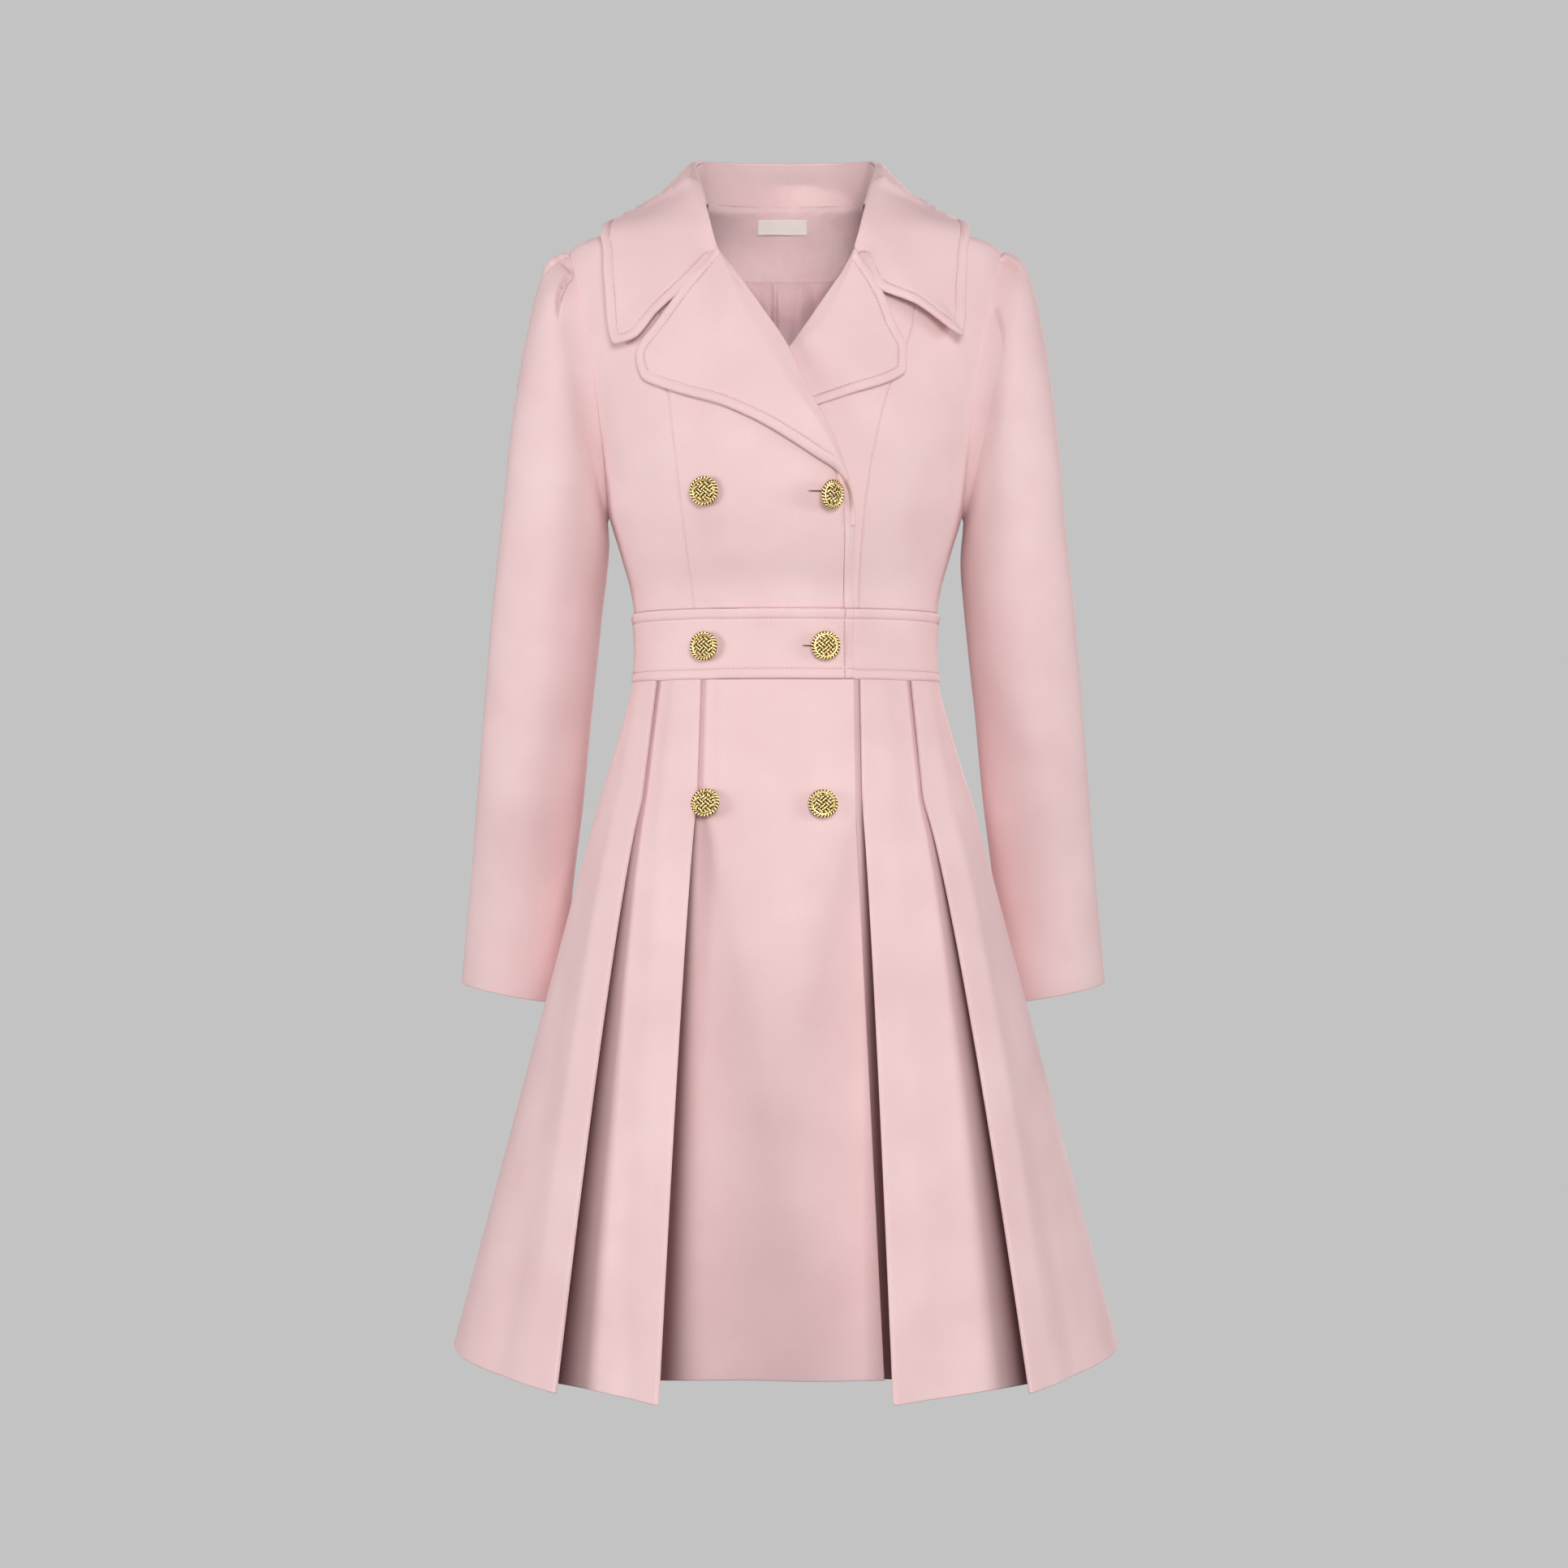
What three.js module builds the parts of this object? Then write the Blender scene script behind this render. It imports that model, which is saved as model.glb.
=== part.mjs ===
// Tailored double-breasted coat with a fitted bodice, a waistband and a pleated skirt, in millimetres.
// +Z is up, the front faces -Y, and +X is the wearer's left. The origin is the centre of the neck base.
import * as THREE from "three";
import { mergeVertices } from "three/addons/utils/BufferGeometryUtils.js";

// Driving dimensions
const CLOTH = 2.0; // one layer of coating cloth
const SKIRT_CLOTH = 1.6; // the same cloth pressed at the pleats
const DOUBLE = 3.0; // two layers turned and pressed, as in collar, lapel and waistband
const SEAM = 0.3; // each edge steps back this far at a seam
const WAIST_TOP = -357;
const WAIST_LOW = -415;
const HIP = -516; // the pleats are stitched down to here
const HEM = -972;
const NECK = 0;
const UNDERARM = -272;
const SHOULDER_END = -50;
const MID_SHOULDER = -20; // where the princess seams meet the shoulder seam
const SQUARENESS = 2.3; // 2 is a true ellipse
const ARMHOLE_HALF_DEPTH = 50;
const BUTTON_RADIUS = 12;
const SIDE = Math.PI / 2; // the side seam, as a turn from the centre front

// The body of the coat: half width, and depth in front of and behind the side seam, at each height.
const BODY = [
  { z: 0, half: 78, front: 46, back: 62 },
  { z: -14, half: 104, front: 55, back: 70 },
  { z: -28, half: 133, front: 63, back: 78 },
  { z: -50, half: 183, front: 74, back: 86 },
  { z: -75, half: 186, front: 86, back: 92 },
  { z: -107, half: 182, front: 98, back: 98 },
  { z: -170, half: 170, front: 116, back: 100 },
  { z: -220, half: 159, front: 125, back: 96 },
  { z: -272, half: 150, front: 121, back: 88 },
  { z: -309, half: 139, front: 112, back: 82 },
  { z: -344, half: 130, front: 101, back: 78 },
  { z: -386, half: 126, front: 97, back: 77 },
  { z: -415, half: 128, front: 100, back: 79 },
  { z: -448, half: 136, front: 111, back: 90 },
  { z: -482, half: 146, front: 122, back: 102 },
  { z: -516, half: 157, front: 132, back: 113 },
];

// Seam lines of the bodice, each as the distance from the middle at a height.
const PRINCESS_RIGHT = [
  { z: -20, x: -117 },
  { z: -60, x: -111 },
  { z: -120, x: -103 },
  { z: -176, x: -96 },
  { z: -223, x: -91 },
  { z: -280, x: -84 },
  { z: -357, x: -75 },
];
const PRINCESS_LEFT = [
  { z: -20, x: 117 },
  { z: -60, x: 112 },
  { z: -126, x: 103 },
  { z: -168, x: 87 },
  { z: -206, x: 76 },
  { z: -257, x: 66 },
  { z: -323, x: 60 },
  { z: -357, x: 59 },
];
const PRINCESS_BACK = [
  { z: -20, x: 117 },
  { z: -120, x: 98 },
  { z: -230, x: 72 },
  { z: -357, x: 55 },
];
// The free edge of each front: straight below the break, then the roll line of the lapel up to the neck.
const EDGE_RIGHT = [
  { z: 0, x: -77.9 },
  { z: -8, x: -75 },
  { z: -30, x: -66 },
  { z: -65, x: -53 },
  { z: -149, x: 2 },
  { z: -193, x: 22 },
  { z: -217, x: 35 },
  { z: -244, x: 46 },
  { z: -281, x: 53.5 },
  { z: -357, x: 54.5 },
];
const EDGE_LEFT = [
  { z: 0, x: 77.9 },
  { z: -8, x: 75 },
  { z: -30, x: 66 },
  { z: -65, x: 54 },
  { z: -149, x: 2 },
  { z: -195, x: -30 },
  { z: -225, x: -38 },
  { z: -357, x: -38 },
];

// Lapels: along the roll line (inner) and round the outer edge, from the low end up to the gorge.
const LAPEL_RIGHT = [
  { along: 0.0, rollX: 53.8, rollZ: -288, outerX: 50.5, outerZ: -290 },
  { along: 0.05, rollX: 53, rollZ: -276, outerX: 49.5, outerZ: -271 },
  { along: 0.1, rollX: 50.5, rollZ: -262, outerX: 44.5, outerZ: -256 },
  { along: 0.17, rollX: 45, rollZ: -242, outerX: 24, outerZ: -242 },
  { along: 0.3, rollX: 33, rollZ: -214, outerX: -14, outerZ: -217 },
  { along: 0.43, rollX: 18, rollZ: -186, outerX: -60, outerZ: -195 },
  { along: 0.55, rollX: 4, rollZ: -154, outerX: -100, outerZ: -179 },
  { along: 0.61, rollX: -4, rollZ: -140, outerX: -115, outerZ: -170 },
  { along: 0.67, rollX: -14, rollZ: -125, outerX: -119, outerZ: -155 },
  { along: 0.77, rollX: -28, rollZ: -104, outerX: -101, outerZ: -128 },
  { along: 0.89, rollX: -42, rollZ: -83, outerX: -80, outerZ: -97 },
  { along: 1.0, rollX: -52, rollZ: -68, outerX: -60, outerZ: -71 },
];
const LAPEL_LEFT = [
  { along: 0.0, rollX: -9, rollZ: -164, outerX: 12, outerZ: -201 },
  { along: 0.2, rollX: 6, rollZ: -143, outerX: 48, outerZ: -188 },
  { along: 0.38, rollX: 18, rollZ: -126, outerX: 84, outerZ: -175 },
  { along: 0.48, rollX: 25, rollZ: -115, outerX: 96, outerZ: -165 },
  { along: 0.57, rollX: 31, rollZ: -106, outerX: 97, outerZ: -152 },
  { along: 0.72, rollX: 40, rollZ: -92, outerX: 85, outerZ: -129 },
  { along: 0.86, rollX: 48, rollZ: -80, outerX: 74, outerZ: -103 },
  { along: 1.0, rollX: 54, rollZ: -68, outerX: 61, outerZ: -76 },
];

// Collar, half of it from the gorge to the centre back: the fold on top, and the outer edge of the fall.
// The front part of that edge is given on the body, seen from the front, the back part in space.
const FOLD = [
  { along: 0.0, x: 56, y: -86, z: -60 },
  { along: 0.16, x: 61, y: -78, z: -42 },
  { along: 0.34, x: 71, y: -50, z: -8 },
  { along: 0.52, x: 79, y: -8, z: 22 },
  { along: 0.7, x: 76, y: 38, z: 37 },
  { along: 0.86, x: 48, y: 72, z: 43 },
  { along: 1.0, x: 0, y: 84, z: 45 },
];
const FALL_EDGE = [
  { along: 0.0, right: { x: 60, z: -67 }, left: { x: 61, z: -70 } },
  { along: 0.12, right: { x: 83, z: -95 }, left: { x: 76, z: -98 } },
  { along: 0.22, right: { x: 105, z: -122 }, left: { x: 106, z: -117 } },
  { along: 0.31, right: { x: 124, z: -146 }, left: { x: 136, z: -137 } },
  { along: 0.36, right: { x: 138, z: -147 }, left: { x: 142, z: -138 } },
  { along: 0.41, right: { x: 145, z: -135 }, left: { x: 146, z: -130 } },
  { along: 0.48, right: { x: 150, z: -100 }, left: { x: 150, z: -98 } },
  { along: 0.54, right: { x: 153, z: -70 }, left: { x: 153, z: -69 } },
];
const FALL_EDGE_BACK = [
  { along: 0.6, x: 155, y: -6, z: -30 },
  { along: 0.7, x: 151, y: 52, z: -40 },
  { along: 0.8, x: 120, y: 86, z: -52 },
  { along: 0.9, x: 66, y: 103, z: -58 },
  { along: 1.0, x: 0, y: 107, z: -60 },
];

// Sleeve, as sections from the armhole to the cuff: the inner and the outer point, seen from the front,
// then how far back the section's middle lies and half its depth.
const SLEEVE = [
  { along: 0.02, inX: 151.5, inZ: -277, outX: 193, outZ: -52, back: 0, deep: 52 },
  { along: 0.06, inX: 151, inZ: -282, outX: 203, outZ: -62, back: 0, deep: 55 },
  { along: 0.12, inX: 150.5, inZ: -289, outX: 211, outZ: -82, back: 0, deep: 57 },
  { along: 0.19, inX: 150, inZ: -298, outX: 218, outZ: -110, back: 1, deep: 58 },
  { along: 0.27, inX: 150.5, inZ: -308, outX: 226, outZ: -150, back: 2, deep: 58 },
  { along: 0.35, inX: 152, inZ: -322, outX: 234, outZ: -205, back: 3, deep: 57 },
  { along: 0.43, inX: 155, inZ: -345, outX: 241, outZ: -275, back: 5, deep: 55 },
  { along: 0.53, inX: 160, inZ: -392, outX: 249, outZ: -348, back: 9, deep: 53 },
  { along: 0.64, inX: 167, inZ: -452, outX: 256, outZ: -425, back: 16, deep: 50 },
  { along: 0.75, inX: 174, inZ: -516, outX: 263, outZ: -500, back: 28, deep: 48 },
  { along: 0.86, inX: 184, inZ: -580, outX: 271, outZ: -570, back: 54, deep: 46 },
  { along: 1.0, inX: 198, inZ: -693, outX: 285, outZ: -676, back: 93, deep: 45 },
];
const SLEEVE_SHIFT = { right: 0, left: -4 }; // the left sleeve hangs a little closer to the body

// Pleat points across half the skirt, from the middle out. x is given at the waist, hip and hem, y at the
// hem only; above the hip a point lies on the body, lifted off it by the layers below. An ease, where one
// is given, says how soon a point swings out below the hip. The back pleats are pressed by hand, so the
// left ones differ a little from the right ones.
const FOLD_GAP = { top: 3.7, hem: 8 }; // between the two layers of a pleat's fold
const UNDER = 0.8; // clearance between pressed layers
const FOLD_LIFT = UNDER + FOLD_GAP.top;
const PLEATS = {
  right: {
    seamIn: { waist: 84, hip: 92, hem: 126, y: -150 },
    foldIn: { waist: 68.5, hip: 71, hem: 97, y: -236 },
    shelfIn: { waist: 87, hip: 96, hem: 116, y: -218 },
    valley: { waist: 99, hip: 110, hem: 160, y: -176 },
    foldOut: { waist: 104, hip: 115, hem: 178, y: -197 },
    seamOut: { waist: 114, hip: 128, hem: 198, y: -150 },
    shelfOut: { waist: 117, hip: 133, hem: 203, y: -168 },
  },
  left: {
    seamIn: { waist: 75, hip: 80, hem: 112, y: -152 },
    foldIn: { waist: 60, hip: 61, hem: 82, y: -236 },
    shelfIn: { waist: 78, hip: 84, hem: 110, y: -218 },
    valley: { waist: 96, hip: 105, hem: 172, y: -178 },
    foldOut: { waist: 101, hip: 110, hem: 189, y: -197 },
    seamOut: { waist: 112, hip: 124, hem: 208, y: -150 },
    shelfOut: { waist: 115, hip: 129, hem: 211, y: -167 },
  },
  backRight: {
    seamIn: { waist: 62, hip: 70, hem: 112, y: 138 },
    foldIn: { waist: 46, hip: 50, hem: 84, y: 208 },
    shelfIn: { waist: 65, hip: 74, hem: 108, y: 192 },
    valley: { waist: 87, hip: 101, hem: 158, y: 158 },
    foldOut: { waist: 92, hip: 106, hem: 180, y: 176 },
    seamOut: { waist: 105, hip: 121, hem: 200, y: 138 },
    shelfOut: { waist: 108, hip: 126, hem: 204, y: 152 },
  },
  backLeft: {
    seamIn: { waist: 62, hip: 70, hem: 112, y: 138 },
    foldIn: { waist: 47, hip: 51, hem: 86, y: 206 },
    shelfIn: { waist: 66, hip: 75, hem: 110, y: 190 },
    valley: { waist: 87, hip: 101, hem: 160, y: 157 },
    foldOut: { waist: 92, hip: 106, hem: 181, y: 175 },
    seamOut: { waist: 105, hip: 121, hem: 201, y: 138 },
    shelfOut: { waist: 108, hip: 126, hem: 205, y: 151 },
  },
};
const SWING = 456; // the pleats open over this height
const FOLD_EASE = 0.8;
const VALLEY_BEND = { top: 5, hem: 18 }; // how far from the valley's corner the cloth starts to bend
const SIDE_HEM = { x: 280, y: 20 };
const SKIRT_ROWS = [-415.1, -465, -516, -570, -645, -745, -855, -972];

// Buttons, by the place of each on the fronts. tilt is in degrees about the vertical, rise lengthens the
// shank, and cover is the height of the cloth under it where that isn't the bodice or the band.
const BUTTONS = [
  { name: "button_right_top", x: -63.7, z: -264, tilt: 0 },
  { name: "button_left_top", x: 33, z: -268, tilt: 36 },
  { name: "button_right_waist", x: -63.7, z: -388, tilt: 0 },
  { name: "button_left_waist", x: 30.9, z: -388, tilt: 0 },
  { name: "button_right_hip", x: -62.5, z: -517, tilt: 0, rise: 2, cover: 0.2 },
  { name: "button_left_hip", x: 29.2, z: -517, tilt: 0, cover: 1.2 },
];

// Colours
const PINK = 0xe3c5c7;
const LINING_PINK = 0xd9b3b6;
const GOLD = 0xc9a24a;
const LABEL_WHITE = 0xeae6e0;

// Small maths
const mix = (a, b, t) => a + (b - a) * t;
const clamp = (v, low, high) => Math.min(high, Math.max(low, v));
const smooth = (low, high, v) => {
  const t = clamp((v - low) / (high - low), 0, 1);
  return t * t * (3 - 2 * t);
};
const steps = (from, to, count) =>
  Array.from({ length: count + 1 }, (_, i) => mix(from, to, i / count));

// A smooth curve through a table: the value of column at key, which may run up or down the rows.
function along(rows, key, column, at) {
  const list = rows[0][key] <= rows[rows.length - 1][key] ? rows : [...rows].reverse();
  const last = list.length - 1;
  const spot = clamp(at, list[0][key], list[last][key]);
  let i = 0;
  while (i < last - 1 && spot > list[i + 1][key]) i += 1;
  const slope = (k) => (list[k + 1][column] - list[k][column]) / (list[k + 1][key] - list[k][key]);
  const tangent = (k) => {
    if (k === 0) return slope(0);
    if (k === last) return slope(last - 1);
    const before = slope(k - 1);
    const after = slope(k);
    return before * after <= 0 ? 0 : (2 * before * after) / (before + after);
  };
  const width = list[i + 1][key] - list[i][key];
  const t = (spot - list[i][key]) / width;
  const t2 = t * t;
  const t3 = t2 * t;
  return (
    (2 * t3 - 3 * t2 + 1) * list[i][column] +
    (t3 - 2 * t2 + t) * width * tangent(i) +
    (3 * t2 - 2 * t3) * list[i + 1][column] +
    (t3 - t2) * width * tangent(i + 1)
  );
}

// The body's section at a height: half width, front depth and back depth.
const section = (z) => ({
  half: along(BODY, "z", "half", z),
  front: along(BODY, "z", "front", z),
  back: along(BODY, "z", "back", z),
});

// The body's point at a turn from the centre front (positive to the wearer's left) and a height.
function bodyPoint(turn, z) {
  const { half, front, back } = section(z);
  const s = Math.sin(turn);
  const c = Math.cos(turn);
  const reach = (Math.abs(s) ** SQUARENESS + Math.abs(c) ** SQUARENESS) ** (-1 / SQUARENESS);
  return new THREE.Vector3(half * s * reach, -(c > 0 ? front : back) * c * reach, z);
}

function bodyNormal(turn, z) {
  const d = 1e-3;
  const low = clamp(z, HIP + 1, NECK - 1);
  const across = bodyPoint(turn + d, low).sub(bodyPoint(turn - d, low));
  const up = bodyPoint(turn, low + 0.5).sub(bodyPoint(turn, low - 0.5));
  return across.cross(up).normalize();
}

const lifted = (turn, z, lift) => bodyPoint(turn, z).addScaledVector(bodyNormal(turn, z), lift);

// The turn at which the front (or back) of the body has a given x at height z.
function turnAtX(x, z, behind = false) {
  const share = clamp(Math.abs(x) / section(z).half, 0, 1) ** SQUARENESS;
  const turn = Math.atan2(share ** (1 / SQUARENESS), (1 - share) ** (1 / SQUARENESS));
  return (x < 0 ? -1 : 1) * (behind ? Math.PI - turn : turn);
}

// The turn of the armhole's edge, which is an upright oval seen from the side.
function armholeTurn(z, behind) {
  const middle = (SHOULDER_END + UNDERARM) / 2;
  const tall = (SHOULDER_END - UNDERARM) / 2;
  const y = ARMHOLE_HALF_DEPTH * Math.sqrt(Math.max(0, 1 - ((z - middle) / tall) ** 2));
  const depth = behind ? section(z).back : section(z).front;
  const share = clamp(y / depth, 0, 1) ** SQUARENESS;
  const turn = Math.atan2((1 - share) ** (1 / SQUARENESS), share ** (1 / SQUARENESS));
  return behind ? Math.PI - turn : turn;
}

// Side edge of the side panels: side seam, armhole, then the shoulder seam.
const sideTurn = (z, behind) =>
  z > UNDERARM && z < SHOULDER_END ? armholeTurn(z, behind) : SIDE;

// Turns a grid of points and outward normals into a closed wall. wrap closes it into a tube.
function wall(points, normals, thickness, wrap = false) {
  const rows = points.length;
  const cols = points[0].length;
  const outer = points.map((row) => row.map((p) => p.clone()));
  const pull = (p, toward) => p.addScaledVector(toward.clone().sub(p).normalize(), SEAM);
  for (let c = 0; c < cols; c += 1) {
    pull(outer[0][c], points[1][c]);
    pull(outer[rows - 1][c], points[rows - 2][c]);
  }
  if (!wrap) {
    for (let r = 0; r < rows; r += 1) {
      pull(outer[r][0], points[r][1]);
      pull(outer[r][cols - 1], points[r][cols - 2]);
    }
  }
  const inner = outer.map((row, r) =>
    row.map((p, c) => p.clone().addScaledVector(normals[r][c], -thickness)),
  );
  const vertices = [];
  const id = (layer, r, c) => (layer * rows + r) * cols + (c % cols);
  for (const p of [outer, inner].flat(2)) vertices.push(p.x, p.y, p.z);
  const faces = [];
  const quad = (a, b, c, d) => faces.push(a, b, c, a, c, d);
  const spans = wrap ? cols : cols - 1;
  for (let r = 0; r < rows - 1; r += 1) {
    for (let c = 0; c < spans; c += 1) {
      quad(id(0, r, c), id(0, r, c + 1), id(0, r + 1, c + 1), id(0, r + 1, c));
      quad(id(1, r, c), id(1, r + 1, c), id(1, r + 1, c + 1), id(1, r, c + 1));
    }
  }
  for (let c = 0; c < spans; c += 1) {
    quad(id(0, 0, c + 1), id(0, 0, c), id(1, 0, c), id(1, 0, c + 1));
    quad(id(0, rows - 1, c), id(0, rows - 1, c + 1), id(1, rows - 1, c + 1), id(1, rows - 1, c));
  }
  if (!wrap) {
    for (let r = 0; r < rows - 1; r += 1) {
      quad(id(0, r, 0), id(0, r + 1, 0), id(1, r + 1, 0), id(1, r, 0));
      quad(id(0, r + 1, cols - 1), id(0, r, cols - 1), id(1, r, cols - 1), id(1, r + 1, cols - 1));
    }
  }
  return outward(vertices, faces);
}

// An indexed geometry whose faces point out, whichever way its grid ran.
function outward(vertices, faces) {
  let volume = 0;
  const at = (i) => new THREE.Vector3().fromArray(vertices, i * 3);
  for (let i = 0; i < faces.length; i += 3) {
    volume += at(faces[i]).dot(at(faces[i + 1]).cross(at(faces[i + 2])));
  }
  if (volume < 0) faces.reverse();
  const geometry = new THREE.BufferGeometry();
  geometry.setAttribute("position", new THREE.Float32BufferAttribute(vertices, 3));
  geometry.setIndex(faces);
  return geometry;
}

// Normals of a free grid, from its neighbours, all on the side where side(point) is.
function gridNormals(points, side, wrap = false) {
  const rows = points.length;
  const cols = points[0].length;
  return points.map((row, r) =>
    row.map((p, c) => {
      const left = wrap ? row[(c + cols - 1) % cols] : row[Math.max(c - 1, 0)];
      const right = wrap ? row[(c + 1) % cols] : row[Math.min(c + 1, cols - 1)];
      const low = points[Math.max(r - 1, 0)][c];
      const high = points[Math.min(r + 1, rows - 1)][c];
      return right.clone().sub(left).cross(high.clone().sub(low)).normalize().multiplyScalar(side);
    }),
  );
}

const group = new THREE.Group();
const cloth = (color) => new THREE.MeshStandardMaterial({ color, roughness: 0.9, metalness: 0 });
const coating = cloth(PINK);
function add(name, geometry, material = coating) {
  const mesh = new THREE.Mesh(geometry, material);
  mesh.name = name;
  group.add(mesh);
  return mesh;
}

// A panel on the body between two edges. Each edge gives { turn, z } for a share t of its height.
function bodyPanel(name, near, far, heights, columns, lift = () => 0, thickness = CLOTH) {
  const points = [];
  const normals = [];
  for (const t of heights) {
    const a = near(t);
    const b = far(t);
    const row = columns.map((u) => {
      const turn = mix(a.turn, b.turn, u);
      const z = mix(a.z, b.z, u);
      const p = bodyPoint(turn, z);
      const n = bodyNormal(turn, z);
      return { p: p.addScaledVector(n, lift(p.x, z)), n };
    });
    points.push(row.map((v) => v.p));
    normals.push(row.map((v) => v.n));
  }
  return add(name, wall(points, normals, thickness));
}

// Bodice

// The right front stands off the body where it laps over the left one, more so beside the lapels.
function overlap(x, z) {
  const bulk = mix(2.4, 6.8, smooth(-345, -290, z));
  return bulk * smooth(-75, -45, x) * (1 - smooth(-110, -60, z));
}
const seamEdge = (rows, top, behind = false, sign = 1) => (t) => {
  const z = mix(WAIST_TOP, top, t);
  const x = sign * along(rows, "z", "x", z);
  const atShoulder = top === MID_SHOULDER && z >= MID_SHOULDER - 0.01;
  return { z, turn: atShoulder ? Math.sign(x) * SIDE : turnAtX(x, z, behind) };
};
const outerEdge = (sign, behind) => (t) => {
  const z = mix(WAIST_TOP, SHOULDER_END, t);
  return { z, turn: sign * sideTurn(z, behind) };
};
const freeEdge = (rows) => (t) => {
  const z = mix(WAIST_TOP, NECK, t);
  const x = along(rows, "z", "x", z);
  return { z, turn: t === 1 ? Math.sign(x) * SIDE : turnAtX(x, z) };
};
const TALL = [0, 0.15, 0.28, 0.4, 0.52, 0.64, 0.75, 0.84, 0.9, 0.95, 1];
const ACROSS = [0, 0.25, 0.5, 0.75, 1];
const ACROSS_WIDE = [0, 0.17, 0.34, 0.5, 0.67, 0.84, 1];

const princessRight = seamEdge(PRINCESS_RIGHT, MID_SHOULDER);
const princessLeft = seamEdge(PRINCESS_LEFT, MID_SHOULDER);
bodyPanel("front_centre_right", princessRight, freeEdge(EDGE_RIGHT), TALL, ACROSS_WIDE, overlap);
bodyPanel("front_side_right", outerEdge(-1, false), princessRight, TALL, ACROSS);
bodyPanel("front_centre_left", freeEdge(EDGE_LEFT), princessLeft, TALL, ACROSS_WIDE);
bodyPanel("front_side_left", princessLeft, outerEdge(1, false), TALL, ACROSS);

// The back: one centre panel up to the neck, and a side panel each side.
const backEdge = (sign) => seamEdge(PRINCESS_BACK, MID_SHOULDER, true, sign);
bodyPanel("back_side_right", backEdge(-1), outerEdge(-1, true), TALL, ACROSS);
bodyPanel("back_side_left", outerEdge(1, true), backEdge(1), TALL, ACROSS);
{
  // The centre back spans from one princess seam round to the other. Its top edge follows the shoulder
  // seams to the neck, then the neck itself.
  const points = [];
  const normals = [];
  const columns = [0, 0.09, 0.18, 0.28, 0.39, 0.5, 0.61, 0.72, 0.82, 0.91, 1];
  for (const t of TALL) {
    const low = backEdge(1)(t);
    const row = columns.map((u) => {
      const bend = 1 - Math.abs(2 * u - 1);
      const neckShare = smooth(0, 0.56, bend);
      const z = mix(low.z, mix(WAIST_TOP, NECK, t), neckShare);
      const edgeTurn = low.turn;
      const turn = mix(edgeTurn, 2 * Math.PI - edgeTurn, u);
      return { p: bodyPoint(turn, z), n: bodyNormal(turn, z) };
    });
    points.push(row.map((v) => v.p));
    normals.push(row.map((v) => v.n));
  }
  add("back_centre", wall(points, normals, CLOTH));
}

// Waistband, two layers, standing a little proud of the bodice and the skirt. Its right end laps over.
const BAND_LIFT = 2.6;
const BAND_LAP = 3.5;
function band(name, from, to, count, lift = () => 0) {
  const edge = (turn) => (t) => ({ turn, z: mix(WAIST_LOW, WAIST_TOP, t) });
  const proud = (x, z) => BAND_LIFT + lift(x, z);
  bodyPanel(name, edge(from), edge(to), [0, 0.5, 1], steps(0, 1, count), proud, DOUBLE);
}
const bandLap = (x) => BAND_LAP * smooth(-72, -45, x);
band("waistband_right", -SIDE, turnAtX(54.5, WAIST_TOP), 14, bandLap);
band("waistband_left", turnAtX(-38, WAIST_TOP), SIDE, 12);
band("waistband_back", SIDE, 3 * SIDE, 14);

// Skirt

// A point of the skirt: on the body above the hip, swinging out to its place at the hem below it.
function skirtPoint(row, z, sign, behind) {
  const high = Math.max(z, HIP);
  const x = mix(row.waist, row.hip, (WAIST_LOW - high) / (WAIST_LOW - HIP));
  const turn = row.turn ?? Math.abs(turnAtX(x, high, behind));
  const top = lifted(turn, high, row.lift ?? 0);
  const swing = clamp((HIP - z) / SWING, 0, 1) ** (row.ease ?? 1);
  return new THREE.Vector3(sign * mix(top.x, row.hem, swing), mix(top.y, row.y, swing), z);
}

// A curve through corners, each rounded by a short bend that starts and ends `round` away from it, but
// takes no more than MOST_BEND of the straight beside it.
const MOST_BEND = 0.48;
function roundedLine(corners, straight, bend) {
  const line = [corners[0].p];
  const last = corners.length - 1;
  for (let i = 1; i < last; i += 1) {
    const { p, round } = corners[i];
    const before = corners[i - 1].p.clone().sub(p);
    const after = corners[i + 1].p.clone().sub(p);
    const bendEnd = (side) =>
      p.clone().addScaledVector(side.clone().normalize(), Math.min(round, side.length() * MOST_BEND));
    const a = bendEnd(before);
    const b = bendEnd(after);
    const start = line[line.length - 1];
    for (let k = 1; k < straight; k += 1) line.push(start.clone().lerp(a, k / straight));
    for (let k = 0; k <= bend; k += 1) {
      const t = k / bend;
      const low = a.clone().lerp(p, t);
      line.push(low.lerp(p.clone().lerp(b, t), t));
    }
  }
  const start = line[line.length - 1];
  for (let k = 1; k <= straight; k += 1) line.push(start.clone().lerp(corners[last].p, k / straight));
  return line;
}

// Both corners of a fold's nose: the outer layer's end and the start of the layer that returns under it.
function foldCorners(row, z, sign, behind) {
  const gap = mix(FOLD_GAP.top, FOLD_GAP.hem, clamp((HIP - z) / SWING, 0, 1));
  const outer = skirtPoint({ ...row, lift: FOLD_LIFT, ease: FOLD_EASE }, z, sign, behind);
  const inner = skirtPoint({ ...row, lift: FOLD_LIFT, ease: FOLD_EASE }, z, sign, behind);
  const depth = behind ? -1 : 1;
  inner.y += depth * gap;
  inner.x += sign * gap * 0.35;
  const round = gap / 2;
  return { outer: { p: outer, round }, inner: { p: inner, round } };
}

// Builds a skirt panel from a function that gives its corners at a height.
function skirtPanel(name, cornersAt, side, straight = 1, bend = 2) {
  const points = SKIRT_ROWS.map((z) => roundedLine(cornersAt(z), straight, bend));
  add(name, wall(points, gridNormals(points, side), SKIRT_CLOTH));
}

const corner = (row, z, sign, behind, round = 14) => ({ p: skirtPoint(row, z, sign, behind), round });

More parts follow.
